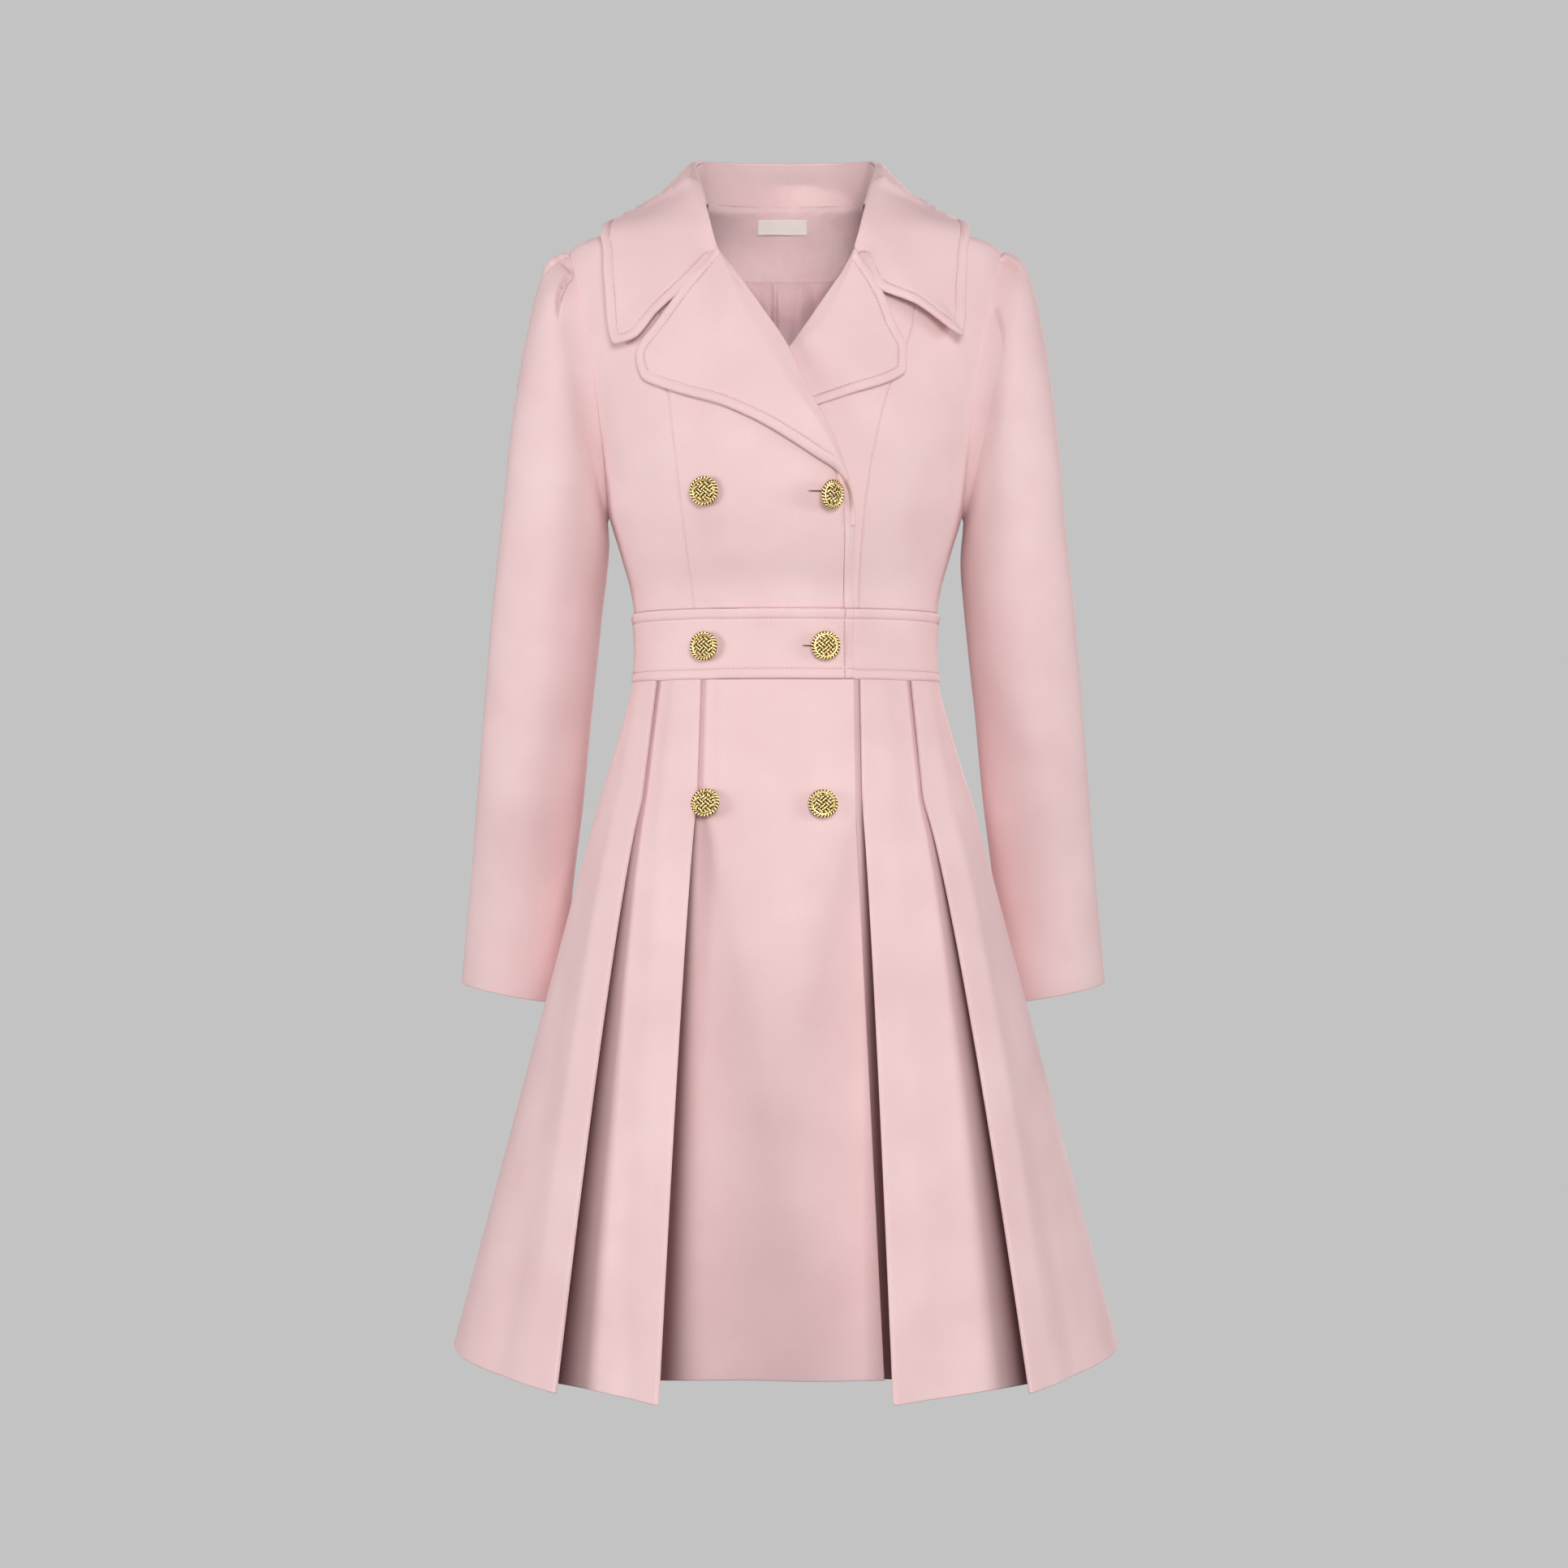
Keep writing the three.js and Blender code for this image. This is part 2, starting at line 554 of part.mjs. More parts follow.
// The mid panel: from the pleat's inner seam forward round the inner fold, out to the outer pleat's seam.
function midPanel(name, pleats, sign, behind) {
  skirtPanel(
    name,
    (z) => {
      const fold = foldCorners(pleats.foldIn, z, sign, behind);
      const valley = { ...pleats.valley, lift: -UNDER, ease: FOLD_EASE };
      const bend = mix(VALLEY_BEND.top, VALLEY_BEND.hem, smooth(HIP, HEM, z));
      return [
        corner({ ...pleats.seamIn, lift: UNDER, ease: FOLD_EASE }, z, sign, behind),
        fold.inner,
        fold.outer,
        corner({ ...pleats.shelfIn, lift: FOLD_LIFT, ease: FOLD_EASE }, z, sign, behind, 6),
        corner(valley, z, sign, behind, bend),
        corner({ ...pleats.seamOut, lift: -UNDER, ease: FOLD_EASE }, z, sign, behind),
      ];
    },
    behind ? sign : -sign,
  );
}

// Where a side panel turns towards the side seam, and where it meets the seam.
const LATERAL = {
  front: { hem: 242, y: -118, waist: 123, hip: 148, lift: 3 },
  back: { hem: 242, y: 114.56, waist: 123, hip: 148, lift: 3 },
};
const NEAR_SEAM = { turn: 1.35, hem: 277, reach: 62, lift: 1 };

// The side panel: from the outer pleat's seam round its fold and on to the side seam.
function sidePanel(name, pleats, sign, behind) {
  const way = behind ? -1 : 1;
  const lateral = behind ? LATERAL.back : LATERAL.front;
  const nearSeam = {
    ...NEAR_SEAM,
    turn: behind ? Math.PI - NEAR_SEAM.turn : NEAR_SEAM.turn,
    y: SIDE_HEM.y - NEAR_SEAM.reach * way,
  };
  const seam = { turn: SIDE, hem: SIDE_HEM.x, y: SIDE_HEM.y };
  skirtPanel(
    name,
    (z) => {
      const fold = foldCorners(pleats.foldOut, z, sign, behind);
      return [
        corner({ ...pleats.seamOut, lift: UNDER, ease: FOLD_EASE }, z, sign, behind),
        fold.inner,
        fold.outer,
        corner({ ...pleats.shelfOut, lift: FOLD_LIFT, ease: FOLD_EASE }, z, sign, behind, 6),
        corner(lateral, z, sign, behind, 40),
        corner(nearSeam, z, sign, behind, 30),
        corner(seam, z, sign, behind),
      ];
    },
    behind ? sign : -sign,
  );
}

midPanel("skirt_mid_right", PLEATS.right, -1, false);
midPanel("skirt_mid_left", PLEATS.left, 1, false);
midPanel("skirt_back_mid_right", PLEATS.backRight, -1, true);
midPanel("skirt_back_mid_left", PLEATS.backLeft, 1, true);
sidePanel("skirt_side_right", PLEATS.right, -1, false);
sidePanel("skirt_side_left", PLEATS.left, 1, false);
sidePanel("skirt_back_side_right", PLEATS.backRight, -1, true);
sidePanel("skirt_back_side_left", PLEATS.backLeft, 1, true);

// The centre panels. The right one laps over; its free edge runs down beside the left inner pleat.
const LAP = 3;
skirtPanel(
  "skirt_front_right",
  (z) => [
    corner({ ...PLEATS.right.seamIn, lift: -UNDER, ease: FOLD_EASE }, z, -1, false),
    corner({ waist: 64, hip: 66, hem: 98, y: -152, lift: -UNDER }, z, -1, false, 4),
    corner({ waist: 52, hip: 53, hem: 80, y: -152.5, lift: LAP }, z, -1, false, 4),
    corner({ waist: 0.1, hip: 0.1, hem: 0, y: -155, lift: LAP }, z, -1, false, 20),
    corner({ waist: 54.5, hip: 55, hem: 78, y: -152.5, lift: LAP }, z, 1, false),
  ],
  -1,
  3,
);
skirtPanel(
  "skirt_front_left",
  (z) => [
    corner({ waist: 33, hip: 33, hem: 50, y: -148.5, lift: -UNDER }, z, -1, false),
    corner({ waist: 0.1, hip: 0.1, hem: 0, y: -150, lift: -UNDER }, z, 1, false, 20),
    corner({ waist: 56, hip: 58, hem: 84, y: -147, lift: -UNDER }, z, 1, false),
    corner({ ...PLEATS.left.seamIn, lift: -UNDER, ease: FOLD_EASE }, z, 1, false),
  ],
  -1,
  3,
);
skirtPanel(
  "skirt_back_centre",
  (z) => [
    corner({ ...PLEATS.backLeft.seamIn, lift: -UNDER, ease: FOLD_EASE }, z, 1, true),
    corner({ waist: 30, hip: 34, hem: 60, y: 142 }, z, 1, true),
    corner({ waist: 30, hip: 34, hem: 60, y: 142 }, z, -1, true),
    corner({ ...PLEATS.backRight.seamIn, lift: -UNDER, ease: FOLD_EASE }, z, -1, true),
  ],
  -1,
  3,
);

// Sleeves: the first ring lies on the armhole, the others on leaning ovals down to the cuff.
const SLEEVE_COLUMNS = 20;
function sleeveRing(row, sign, shift) {
  return steps(0, 2 * Math.PI, SLEEVE_COLUMNS)
    .slice(0, SLEEVE_COLUMNS)
    .map((turn) => {
      const share = (1 - Math.cos(turn)) / 2;
      const side = Math.sin(turn);
      const x = mix(row.outX, row.inX, share);
      const z = mix(row.outZ, row.inZ, share);
      return new THREE.Vector3(sign * (x + shift), row.back - side * row.deep, z);
    });
}
function armholeRing(sign) {
  const middle = (SHOULDER_END + UNDERARM) / 2;
  const tall = (SHOULDER_END - UNDERARM) / 2 + 0.7;
  return steps(0, 2 * Math.PI, SLEEVE_COLUMNS)
    .slice(0, SLEEVE_COLUMNS)
    .map((turn) => {
      const z = middle + tall * Math.cos(turn);
      const y = -(ARMHOLE_HALF_DEPTH - 0.7) * Math.sin(turn);
      const size = section(clamp(z, UNDERARM, SHOULDER_END));
      const share = (Math.abs(y) / (y < 0 ? size.front : size.back)) ** SQUARENESS;
      return new THREE.Vector3(sign * (size.half * (1 - share) ** (1 / SQUARENESS) + 0.8), y, z);
    });
}
for (const [side, sign] of [["right", -1], ["left", 1]]) {
  const rings = [
    armholeRing(sign),
    ...SLEEVE.map((row) => sleeveRing(row, sign, SLEEVE_SHIFT[side] * smooth(0.1, 0.5, row.along))),
  ];
  add(`sleeve_${side}`, wall(rings, gridNormals(rings, sign, true), CLOTH, true));
}

// Lapels: each lies on its front, lifted at the roll and settling to its outer edge.
const LAPEL_COLUMNS = [0, 0.06, 0.16, 0.4, 0.65, 0.86, 1];
function lapel(name, rows, under) {
  const points = [];
  const normals = [];
  for (const at of steps(0, 1, 11)) {
    const roll = { x: along(rows, "along", "rollX", at), z: along(rows, "along", "rollZ", at) };
    const outer = { x: along(rows, "along", "outerX", at), z: along(rows, "along", "outerZ", at) };
    const row = LAPEL_COLUMNS.map((u) => {
      const x = mix(roll.x, outer.x, u);
      const z = mix(roll.z, outer.z, u);
      const turn = turnAtX(x, z);
      const n = bodyNormal(turn, z);
      return { p: bodyPoint(turn, z).addScaledVector(n, under(x, z, u, at)), n };
    });
    points.push(row.map((v) => v.p));
    normals.push(row.map((v) => v.n));
  }
  add(name, wall(points, normals, DOUBLE));
}
// Height of a lapel's face over what it lies on: full at the roll, then easing down to the edge.
const rollRise = (u) => 4.6 + 3.6 * smooth(0, 0.16, u) - 2.8 * smooth(0.16, 1, u);
const overRight = (x, z, u, at) => overlap(x, z) + mix(3.7, rollRise(u), smooth(0, 0.2, at));
const overLeft = (x, z, u, at) => mix(3.5, rollRise(u), smooth(0.12, 0.36, at));
lapel("lapel_right", LAPEL_RIGHT, overRight);
lapel("lapel_left", LAPEL_LEFT, overLeft);

// Collar: a stand from the neck seam up to the fold, and a fall from the fold out over the shoulders.
const mirrored = (rows, at, sign) => {
  const [x, y, z] = ["x", "y", "z"].map((axis) => along(rows, "along", axis, at));
  return new THREE.Vector3(sign * x, y, z);
};
const foldPoint = (at, sign) => mirrored(FOLD, at, sign);
const FALL_LIFT = 9;
function fallEdge(at, sign) {
  const key = sign < 0 ? "right" : "left";
  const front = FALL_EDGE.map((row) => {
    const turn = turnAtX(row[key].x, row[key].z);
    const p = lifted(turn, row[key].z, FALL_LIFT);
    return { along: row.along, x: p.x, y: p.y, z: p.z };
  });
  return mirrored([...front, ...FALL_EDGE_BACK], at, sign);
}
// Moves a point of the fall off the body, so that it lies at least `clear` over the shoulder or chest.
function overBody(p, clear) {
  const z = clamp(p.z, HIP, NECK);
  const turn = Math.abs(p.x) < section(z).half ? turnAtX(p.x, z, p.y > 0) : Math.sign(p.x) * SIDE;
  const normal = bodyNormal(turn, z);
  const over = p.clone().sub(bodyPoint(turn, z)).dot(normal) - clear;
  const ease = 2.5;
  const more = over > 8 * ease ? 0 : ease * Math.log(1 + Math.exp(over / ease)) - over;
  return p.addScaledVector(normal, more);
}
const COLLAR_ALONG = [
  0, 0.09, 0.17, 0.25, 0.31, 0.36, 0.41, 0.46, 0.5, 0.54, 0.57, 0.6, 0.64, 0.7, 0.79, 0.89, 1,
];
const rightHalf = COLLAR_ALONG.map((at) => [at, -1]);
const leftHalf = COLLAR_ALONG.slice(0, -1).reverse().map((at) => [at, 1]);
const bothHalves = [...rightHalf, ...leftHalf];
{
  const columns = [0, 0.05, 0.14, 0.32, 0.55, 0.75, 0.9, 1];
  const points = bothHalves.map(([at, sign]) => {
    const fold = foldPoint(at, sign);
    const edge = fallEdge(at, sign);
    const inward = new THREE.Vector3(-fold.x, -fold.y + 10, 0).normalize();
    const crest = smooth(0.1, 0.4, at);
    return columns.map((u) => {
      const p = fold.clone().lerp(edge, u);
      const crown = 3.6 * crest * (1 - smooth(0.05, 0.6, u));
      const bow = 5 * crest * Math.sin(Math.PI * u) * smooth(0.3, 0.8, at);
      p.z += crown - bow;
      if (u === 0) {
        p.addScaledVector(inward, 2.2 * crest);
        p.z -= 1.6 * crest;
      }
      return overBody(p, FALL_LIFT - 0.5);
    });
  });
  add("collar_fall", wall(points, gridNormals(points, -1), DOUBLE));
}
{
  // The stand follows the neck edge of the body: round the back neck, then down both fronts.
  const STAND_CLOTH = 2.2;
  const neckPoint = (at, sign) => {
    if (at > 0.52) {
      const turn = mix(SIDE, Math.PI, (at - 0.52) / 0.48);
      return bodyPoint(sign * turn, NECK);
    }
    const z = -62 * (1 - at / 0.52) ** 1.4;
    const rows = EDGE_LEFT;
    return bodyPoint(sign * turnAtX(along(rows, "z", "x", z), z), z);
  };
  const columns = [0, 0.5, 1];
  const points = bothHalves.map(([at, sign]) => {
    const low = neckPoint(at, sign);
    const top = foldPoint(at, sign);
    const inward = new THREE.Vector3(-top.x, -top.y + 10, 0).normalize();
    low.addScaledVector(inward, 1);
    low.x -= sign * 3 * (1 - smooth(0.42, 0.56, at));
    low.z += 1.4;
    top.addScaledVector(inward, 2.4);
    top.z -= 2.6;
    return columns.map((u) => low.clone().lerp(top, u));
  });
  add("collar_stand", wall(points, gridNormals(points, 1), STAND_CLOTH));
}

// Inside the back, where it shows through the neck: facing, lining and label.
const FACING_IN = 4.3; // the facing's distance in from the back's inner face
const LABEL_IN = 6.3;
const LABEL_SIZE = { half: 22, low: -15.5, high: -4, aside: -3 };
const inside = (depth) => () => -(CLOTH + depth);
const backBand = (name, low, high, half, count, rowsUp, lift, thickness, material) => {
  const edge = (sign) => (t) => {
    const z = mix(low, high, t);
    return { z, turn: sign > 0 ? turnAtX(half, z, true) : 2 * Math.PI + turnAtX(-half, z, true) };
  };
  const mesh = bodyPanel(name, edge(1), edge(-1), steps(0, 1, rowsUp), steps(0, 1, count), lift, thickness);
  if (material) mesh.material = material;
};
const liningCloth = cloth(LINING_PINK);
backBand("back_neck_facing", -56, -3, 70, 12, 4, inside(FACING_IN), 1.2);
const GATHERS = 7; // soft gathers across the lining, beside its centre pleat
const LINING_HALF = 84;
const gatherWave = (x) => 1.6 * (1 - Math.cos((x / LINING_HALF) * GATHERS * Math.PI));
const gathered = (x, z) => -(CLOTH + FACING_IN) - gatherWave(x) * smooth(-50, -75, z);
backBand("back_lining", -205, -56.2, LINING_HALF, 24, 4, gathered, 1, liningCloth);
{
  const { half, low, high, aside } = LABEL_SIZE;
  const turnAt = (x) => turnAtX(x, (low + high) / 2, true) + (x < 0 ? 2 * Math.PI : 0);
  const edge = (x) => (t) => ({ z: mix(low, high, t), turn: turnAt(x) });
  const ends = [edge(half + aside), edge(-half + aside)];
  const label = bodyPanel("label", ...ends, [0, 1], steps(0, 1, 4), inside(LABEL_IN), 1);
  label.material = cloth(LABEL_WHITE);
}

// Buttons: a shank, a flat back, a rolled rim and a domed face, turned about their own axis.
const BUTTON_CLEAR = 0.9; // the shank's foot stands this far off the cloth, as on its thread
const TILT_LIFT = 2; // more of it under the tilted button
const BUTTON_PROFILE = [
  [0, 0],
  [2.6, 0],
  [2.6, 2.4],
  [9.6, 2.8],
  [11.7, 4.2],
  [BUTTON_RADIUS, 5.4],
  [10.9, 6.5],
  [9.4, 6.2],
  [7.6, 7.6],
  [4.2, 8.9],
  [0, 9.4],
];
const brass = new THREE.MeshStandardMaterial({ color: GOLD, roughness: 0.3, metalness: 1 });
for (const { name, x, z, tilt, rise = 0, cover } of BUTTONS) {
  const turn = turnAtX(x, Math.max(z, HIP));
  const normal = bodyNormal(turn, z);
  const beneath = cover ?? (z < WAIST_TOP ? BAND_LIFT + bandLap(x) : overlap(x, z));
  const seat = bodyPoint(turn, Math.max(z, HIP)).addScaledVector(normal, beneath + BUTTON_CLEAR);
  seat.z = z;
  const outline = BUTTON_PROFILE.map(([r, h]) => new THREE.Vector2(r, h ? h + rise : 0));
  const lathe = new THREE.LatheGeometry(outline, 12);
  lathe.deleteAttribute("normal");
  lathe.deleteAttribute("uv");
  const button = add(name, mergeVertices(lathe, 1e-4), brass);
  const axis = normal.clone().applyAxisAngle(new THREE.Vector3(0, 0, 1), THREE.MathUtils.degToRad(tilt));
  button.quaternion.setFromUnitVectors(new THREE.Vector3(0, 1, 0), axis);
  button.position.copy(seat).addScaledVector(normal, tilt ? TILT_LIFT : 0);
}

export default group;
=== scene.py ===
# %% [markdown]
# A tailored double-breasted coat, made as a lesson. The real coat is brushed wool cut into about thirty
# pieces and sewn, so here each piece is one grid of points worked out with numpy, given a wall of cloth,
# pressed edges and sewing. The solids that the frame holds say where every piece is.

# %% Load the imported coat
import math

import bpy
import numpy as np
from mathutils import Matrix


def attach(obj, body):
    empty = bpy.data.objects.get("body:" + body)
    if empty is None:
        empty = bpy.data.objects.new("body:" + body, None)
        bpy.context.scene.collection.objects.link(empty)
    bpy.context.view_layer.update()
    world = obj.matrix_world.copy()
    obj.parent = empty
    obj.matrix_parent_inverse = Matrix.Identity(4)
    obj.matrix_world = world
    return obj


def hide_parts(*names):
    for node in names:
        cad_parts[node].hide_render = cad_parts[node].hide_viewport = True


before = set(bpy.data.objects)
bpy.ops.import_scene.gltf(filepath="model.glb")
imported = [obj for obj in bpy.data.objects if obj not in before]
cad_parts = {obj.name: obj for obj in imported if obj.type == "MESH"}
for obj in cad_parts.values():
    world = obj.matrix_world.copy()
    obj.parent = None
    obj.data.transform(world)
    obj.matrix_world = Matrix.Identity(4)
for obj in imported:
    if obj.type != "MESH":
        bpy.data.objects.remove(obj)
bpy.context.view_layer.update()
print("solids:", len(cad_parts))

# %% [markdown]
# The camera stands where the photograph was taken from: 2.2 m in front, level with the middle of the
# coat. The lens follows from how much of the coat one pixel of the picture covers. The view transform
# is Standard, so that the pale pink comes out at the value that it was given.

# %% Camera
MM = 0.001
PICTURE_PIXELS = 1932
MM_PER_PIXEL = 0.69
CAMERA_DISTANCE = 2.2
CAMERA_X = -0.0014
CAMERA_Z = -0.5
SENSOR_WIDTH = 36.0

lens_data = bpy.data.cameras.new("camera")
lens_data.sensor_width = SENSOR_WIDTH
lens_data.lens = SENSOR_WIDTH * CAMERA_DISTANCE / (PICTURE_PIXELS * MM_PER_PIXEL * MM)
camera = bpy.data.objects.new("camera", lens_data)
camera.location = (CAMERA_X, -CAMERA_DISTANCE, CAMERA_Z)
camera.rotation_euler = (math.pi / 2, 0, 0)
bpy.context.scene.collection.objects.link(camera)
bpy.context.scene.camera = camera
bpy.context.scene.view_settings.view_transform = "Standard"
print("lens:", round(lens_data.lens, 1))

# %% [markdown]
# Colours are written as the eye picks them, in sRGB hex, and one function turns them into the linear
# light that Blender mixes. Materials are small trees of nodes, so one helper adds a node, sets it up
# and links it.

# %% Colour and node helpers


def linear(code):
    """sRGB hex to linear light: each channel c becomes ((c + 0.055) / 1.055) to the power 2.4."""
    channels = [int(code[i : i + 2], 16) / 255 for i in (1, 3, 5)]
    return tuple(c / 12.92 if c < 0.04045 else ((c + 0.055) / 1.055) ** 2.4 for c in channels) + (1.0,)


def feed(tree, node, inputs):
    """Gives each input of a node a value, or links it to another node's output."""
    for key, value in inputs.items():
        if isinstance(value, bpy.types.NodeSocket):
            tree.links.new(value, node.inputs[key])
        else:
            node.inputs[key].default_value = value


def add_node(tree, kind, inputs=None, **settings):
    """Adds a node, sets its own settings and feeds its inputs."""
    made = tree.nodes.new(kind)
    for key, value in settings.items():
        setattr(made, key, value)
    feed(tree, made, inputs or {})
    return made


def new_material(name):
    """An empty material: its tree, its principled shader, and its Object coordinates."""
    made = bpy.data.materials.new(name)
    made.use_nodes = True
    tree = made.node_tree
    shader = tree.nodes["Principled BSDF"]
    where = add_node(tree, "ShaderNodeTexCoord").outputs["Object"]
    return made, tree, shader, where


def noise(tree, where, scale, detail, roughness=0.5):
    """Fractal noise; the scale is waves to the metre."""
    inputs = {"Vector": where, "Scale": scale, "Detail": detail, "Roughness": roughness}
    return add_node(tree, "ShaderNodeTexNoise", inputs).outputs[0]


def ramp(tree, factor, low, high, span=(0, 1)):
    """From the low colour to the high one while a factor runs over a span."""
    made = add_node(tree, "ShaderNodeValToRGB", {"Fac": factor})
    for stop, colour, place in zip(made.color_ramp.elements, (low, high), span):
        stop.color = colour
        stop.position = place
    return made.outputs[0]


def relief(tree, height, strength, depth):
    """Bumps in the shading; the depth is in millimetres."""
    inputs = {"Height": height, "Strength": strength, "Distance": depth * MM}
    return add_node(tree, "ShaderNodeBump", inputs).outputs[0]


# %% [markdown]
# The coating is a wool blend with a brushed face: no weave shows, only short fibres lying down the
# cloth, a faint mix of lighter and deeper wool, and a soft glow where the nap is seen from the side.
# The glow is the shader's sheen, and the fibres are a fine noise stretched along the cloth. Inside the
# skirt's pleats the colour is darkened as painted shade.

# %% Wool coating
FIBRE = 0.5  # millimetres across a tuft of fibres, drawn about twice as coarse as real so that it shows
NAP_STRETCH = 0.45
CLOUDS_PER_METRE = 14
# Painted shade: the share of the coating's colour that is left at the bottom of a pleat.
PAINTED_SHADE_AT_PLEAT_BOTTOM = (0.17, 0.1, 0.1, 1)  # share of the colour that is left at the bottom of a pleat
FULL_LIGHT = (1, 1, 1, 1)


def wool_coating(name, pale, deep, glow):
    """Two mixed pinks, with fibre bumps as deep as the nap is high. An attribute of the mesh says how
    far inside a pleat each point lies, and the colour darkens with it as painted shade."""
    made, tree, shader, where = new_material(name)
    nap = add_node(tree, "ShaderNodeMapping", {"Vector": where, "Scale": (1, 1, NAP_STRETCH)}).outputs[0]
    fibres = noise(tree, nap, 1 / (FIBRE * MM), 4, 0.7)
    clouds = noise(tree, where, CLOUDS_PER_METRE, 2)
    both = add_node(tree, "ShaderNodeMath", {0: fibres, 1: clouds}, operation="MULTIPLY").outputs[0]
    wool = ramp(tree, both, linear(deep), linear(pale), (0.12, 0.42))
    # Painted shade: this attribute darkens the colour deep inside a pleat.
    inside = add_node(tree, "ShaderNodeAttribute", attribute_name="painted_pleat_shade").outputs["Fac"]
    painted_shade = ramp(tree, inside, FULL_LIGHT, PAINTED_SHADE_AT_PLEAT_BOTTOM)
    tint = add_node(tree, "ShaderNodeVectorMath", {0: wool, 1: painted_shade}, operation="MULTIPLY").outputs[0]
    finish = {
        "Base Color": tint,
        "Normal": relief(tree, fibres, 0.35, 0.25),
        "Roughness": 0.92,
        "IOR": 1.45,
        "Sheen Weight": 0.22,
        "Sheen Roughness": 0.45,
        "Sheen Tint": linear(glow),
    }
    feed(tree, shader, finish)
    return made


COATING = wool_coating("brushed_wool_coating", "#EFD4D4", "#E5C5C6", "#FFE9E9")

# %% Thread, lining and label tape


def woven(name, pale, deep, thread, roughness, sheen):
    """Plain weave on the piece's own map: threads one way over threads the other, as two waves."""
    made, tree, shader, _ = new_material(name)
    cloth_map = add_node(tree, "ShaderNodeUVMap", uv_map="cloth").outputs[0]
    wave = {"Vector": cloth_map, "Scale": math.pi / (20 * thread * MM), "Distortion": 0.4}
    waves = [
        add_node(tree, "ShaderNodeTexWave", wave, bands_direction=way).outputs["Fac"] for way in ("X", "Y")
    ]
    weave = add_node(tree, "ShaderNodeMath", dict(enumerate(waves)), operation="MAXIMUM").outputs[0]
    finish = {
        "Base Color": ramp(tree, weave, linear(deep), linear(pale)),
        "Normal": relief(tree, weave, 0.4, 0.1),
        "Roughness": roughness,
        "Sheen Weight": sheen,
    }
    feed(tree, shader, finish)
    return made


THREAD = wool_coating("spun_polyester_thread", "#DDB6B8", "#C3999B", "#FFE0E0")
LINING = woven("woven_lining", "#E2BEC1", "#D9B0B4", 0.35, 0.55, 0.1)
LABEL_TAPE = woven("woven_label_tape", "#F8F2EA", "#EEE6DB", 0.5, 0.7, 0.0)

# %% [markdown]
# The buttons are zinc castings plated the colour of gold and polished. Polish gives a low roughness,
# and the plating stays darker in the hollows of the relief, so an attribute of the mesh says how deep
# each point lies and the colour follows it.

# %% Gold-plated casting
MARKS_PER_METRE = 1600


def plated_casting(name):
    """Bright gold on the high points and brown gold in the hollows, with fine polishing marks."""
    made, tree, shader, where = new_material(name)
    depth = add_node(tree, "ShaderNodeAttribute", attribute_name="hollow").outputs["Fac"]
    marks = noise(tree, where, MARKS_PER_METRE, 3)
    polish = add_node(tree, "ShaderNodeMapRange", {"Value": marks, "To Min": 0.1, "To Max": 0.34})
    finish = {
        "Base Color": ramp(tree, depth, linear("#FBE0A0"), linear("#2E1C0C"), (0.35, 0.8)),
        "Normal": relief(tree, marks, 0.12, 0.1),
        "Roughness": polish.outputs[0],
        "Metallic": 1.0,
    }
    feed(tree, shader, finish)
    return made


GOLD = plated_casting("gold_plated_casting")

# %% [markdown]
# Three small tools of mathematics shape everything: a mix between two values, a soft step, and a smooth
# curve through the rows of a table. Each takes whole arrays, so a grid is one call.

# %% Maths helpers


def mix(a, b, t):
    """Straight from a to b as t goes from 0 to 1."""
    return a + (b - a) * t


def soft_step(low, high, value):
    """0 below low, 1 above high, and 3tt - 2ttt between them."""
    t = np.clip((value - low) / (high - low), 0, 1)
    return t * t * (3 - 2 * t)


def bell(distance, width):
    """e^-(d/w)^2: 1 at the middle, falling off on both sides."""
    return np.exp(-((distance / width) ** 2))


def table(columns, *rows):
    """Rows of numbers, as one array for each named column."""
    return dict(zip(columns.split(), np.array(rows, float).T))


def curve(rows, key, column, at):
    """A curve through a table's points, made of cubic pieces. The slope at a point is the harmonic mean
    of the slopes on both sides of it, so the curve never overshoots."""
    order = np.argsort(rows[key])
    x, y = rows[key][order], rows[column][order]
    slope = np.diff(y) / np.diff(x)
    before, after = slope[:-1], slope[1:]
    same_way = before * after > 0
    tangent = np.where(same_way, 2 * before * after / np.where(same_way, before + after, 1), 0)
    tangent = np.concatenate([slope[:1], tangent, slope[-1:]])
    at = np.clip(at, x[0], x[-1])
    i = np.clip(np.searchsorted(x, at, side="right") - 1, 0, len(x) - 2)
    width = x[i + 1] - x[i]
    t = (at - x[i]) / width
    return (
        (2 * t**3 - 3 * t**2 + 1) * y[i]
        + (t**3 - 2 * t**2 + t) * width * tangent[i]
        + (3 * t**2 - 2 * t**3) * y[i + 1]
        + (t**3 - t**2) * width * tangent[i + 1]
    )


def read_along(at, run, values):
    """Points or directions read at places along a line, whose own places are in run."""
    return np.stack([np.interp(at, run, column) for column in values.T], -1)


def unit(vectors):
    """Vectors of length one."""
    return vectors / np.maximum(np.linalg.norm(vectors, axis=-1, keepdims=True), 1e-9)


def point(x, y, z):
    """Three arrays as one array of points."""
    return np.stack(np.broadcast_arrays(x, y, z), -1).astype(float)


# %% [markdown]
# The coat keeps the form of the wearer's body, so the body is worked out first: at each height, a
# squarish oval with its own half width and its own depth in front and behind. All sizes from here on
# are in millimetres, the same ones as in the solid model.

# %% The body inside the coat
CLOTH = 2.0
SKIRT_CLOTH = 1.6
DOUBLE = 3.0
WAIST_TOP = -357
WAIST_LOW = -415
HIP = -516
HEM = -972
NECK = 0
UNDERARM = -272
SHOULDER_END = -50
MID_SHOULDER = -20
SQUARENESS = 2.3
ARMHOLE_HALF_DEPTH = 50
SIDE = math.pi / 2

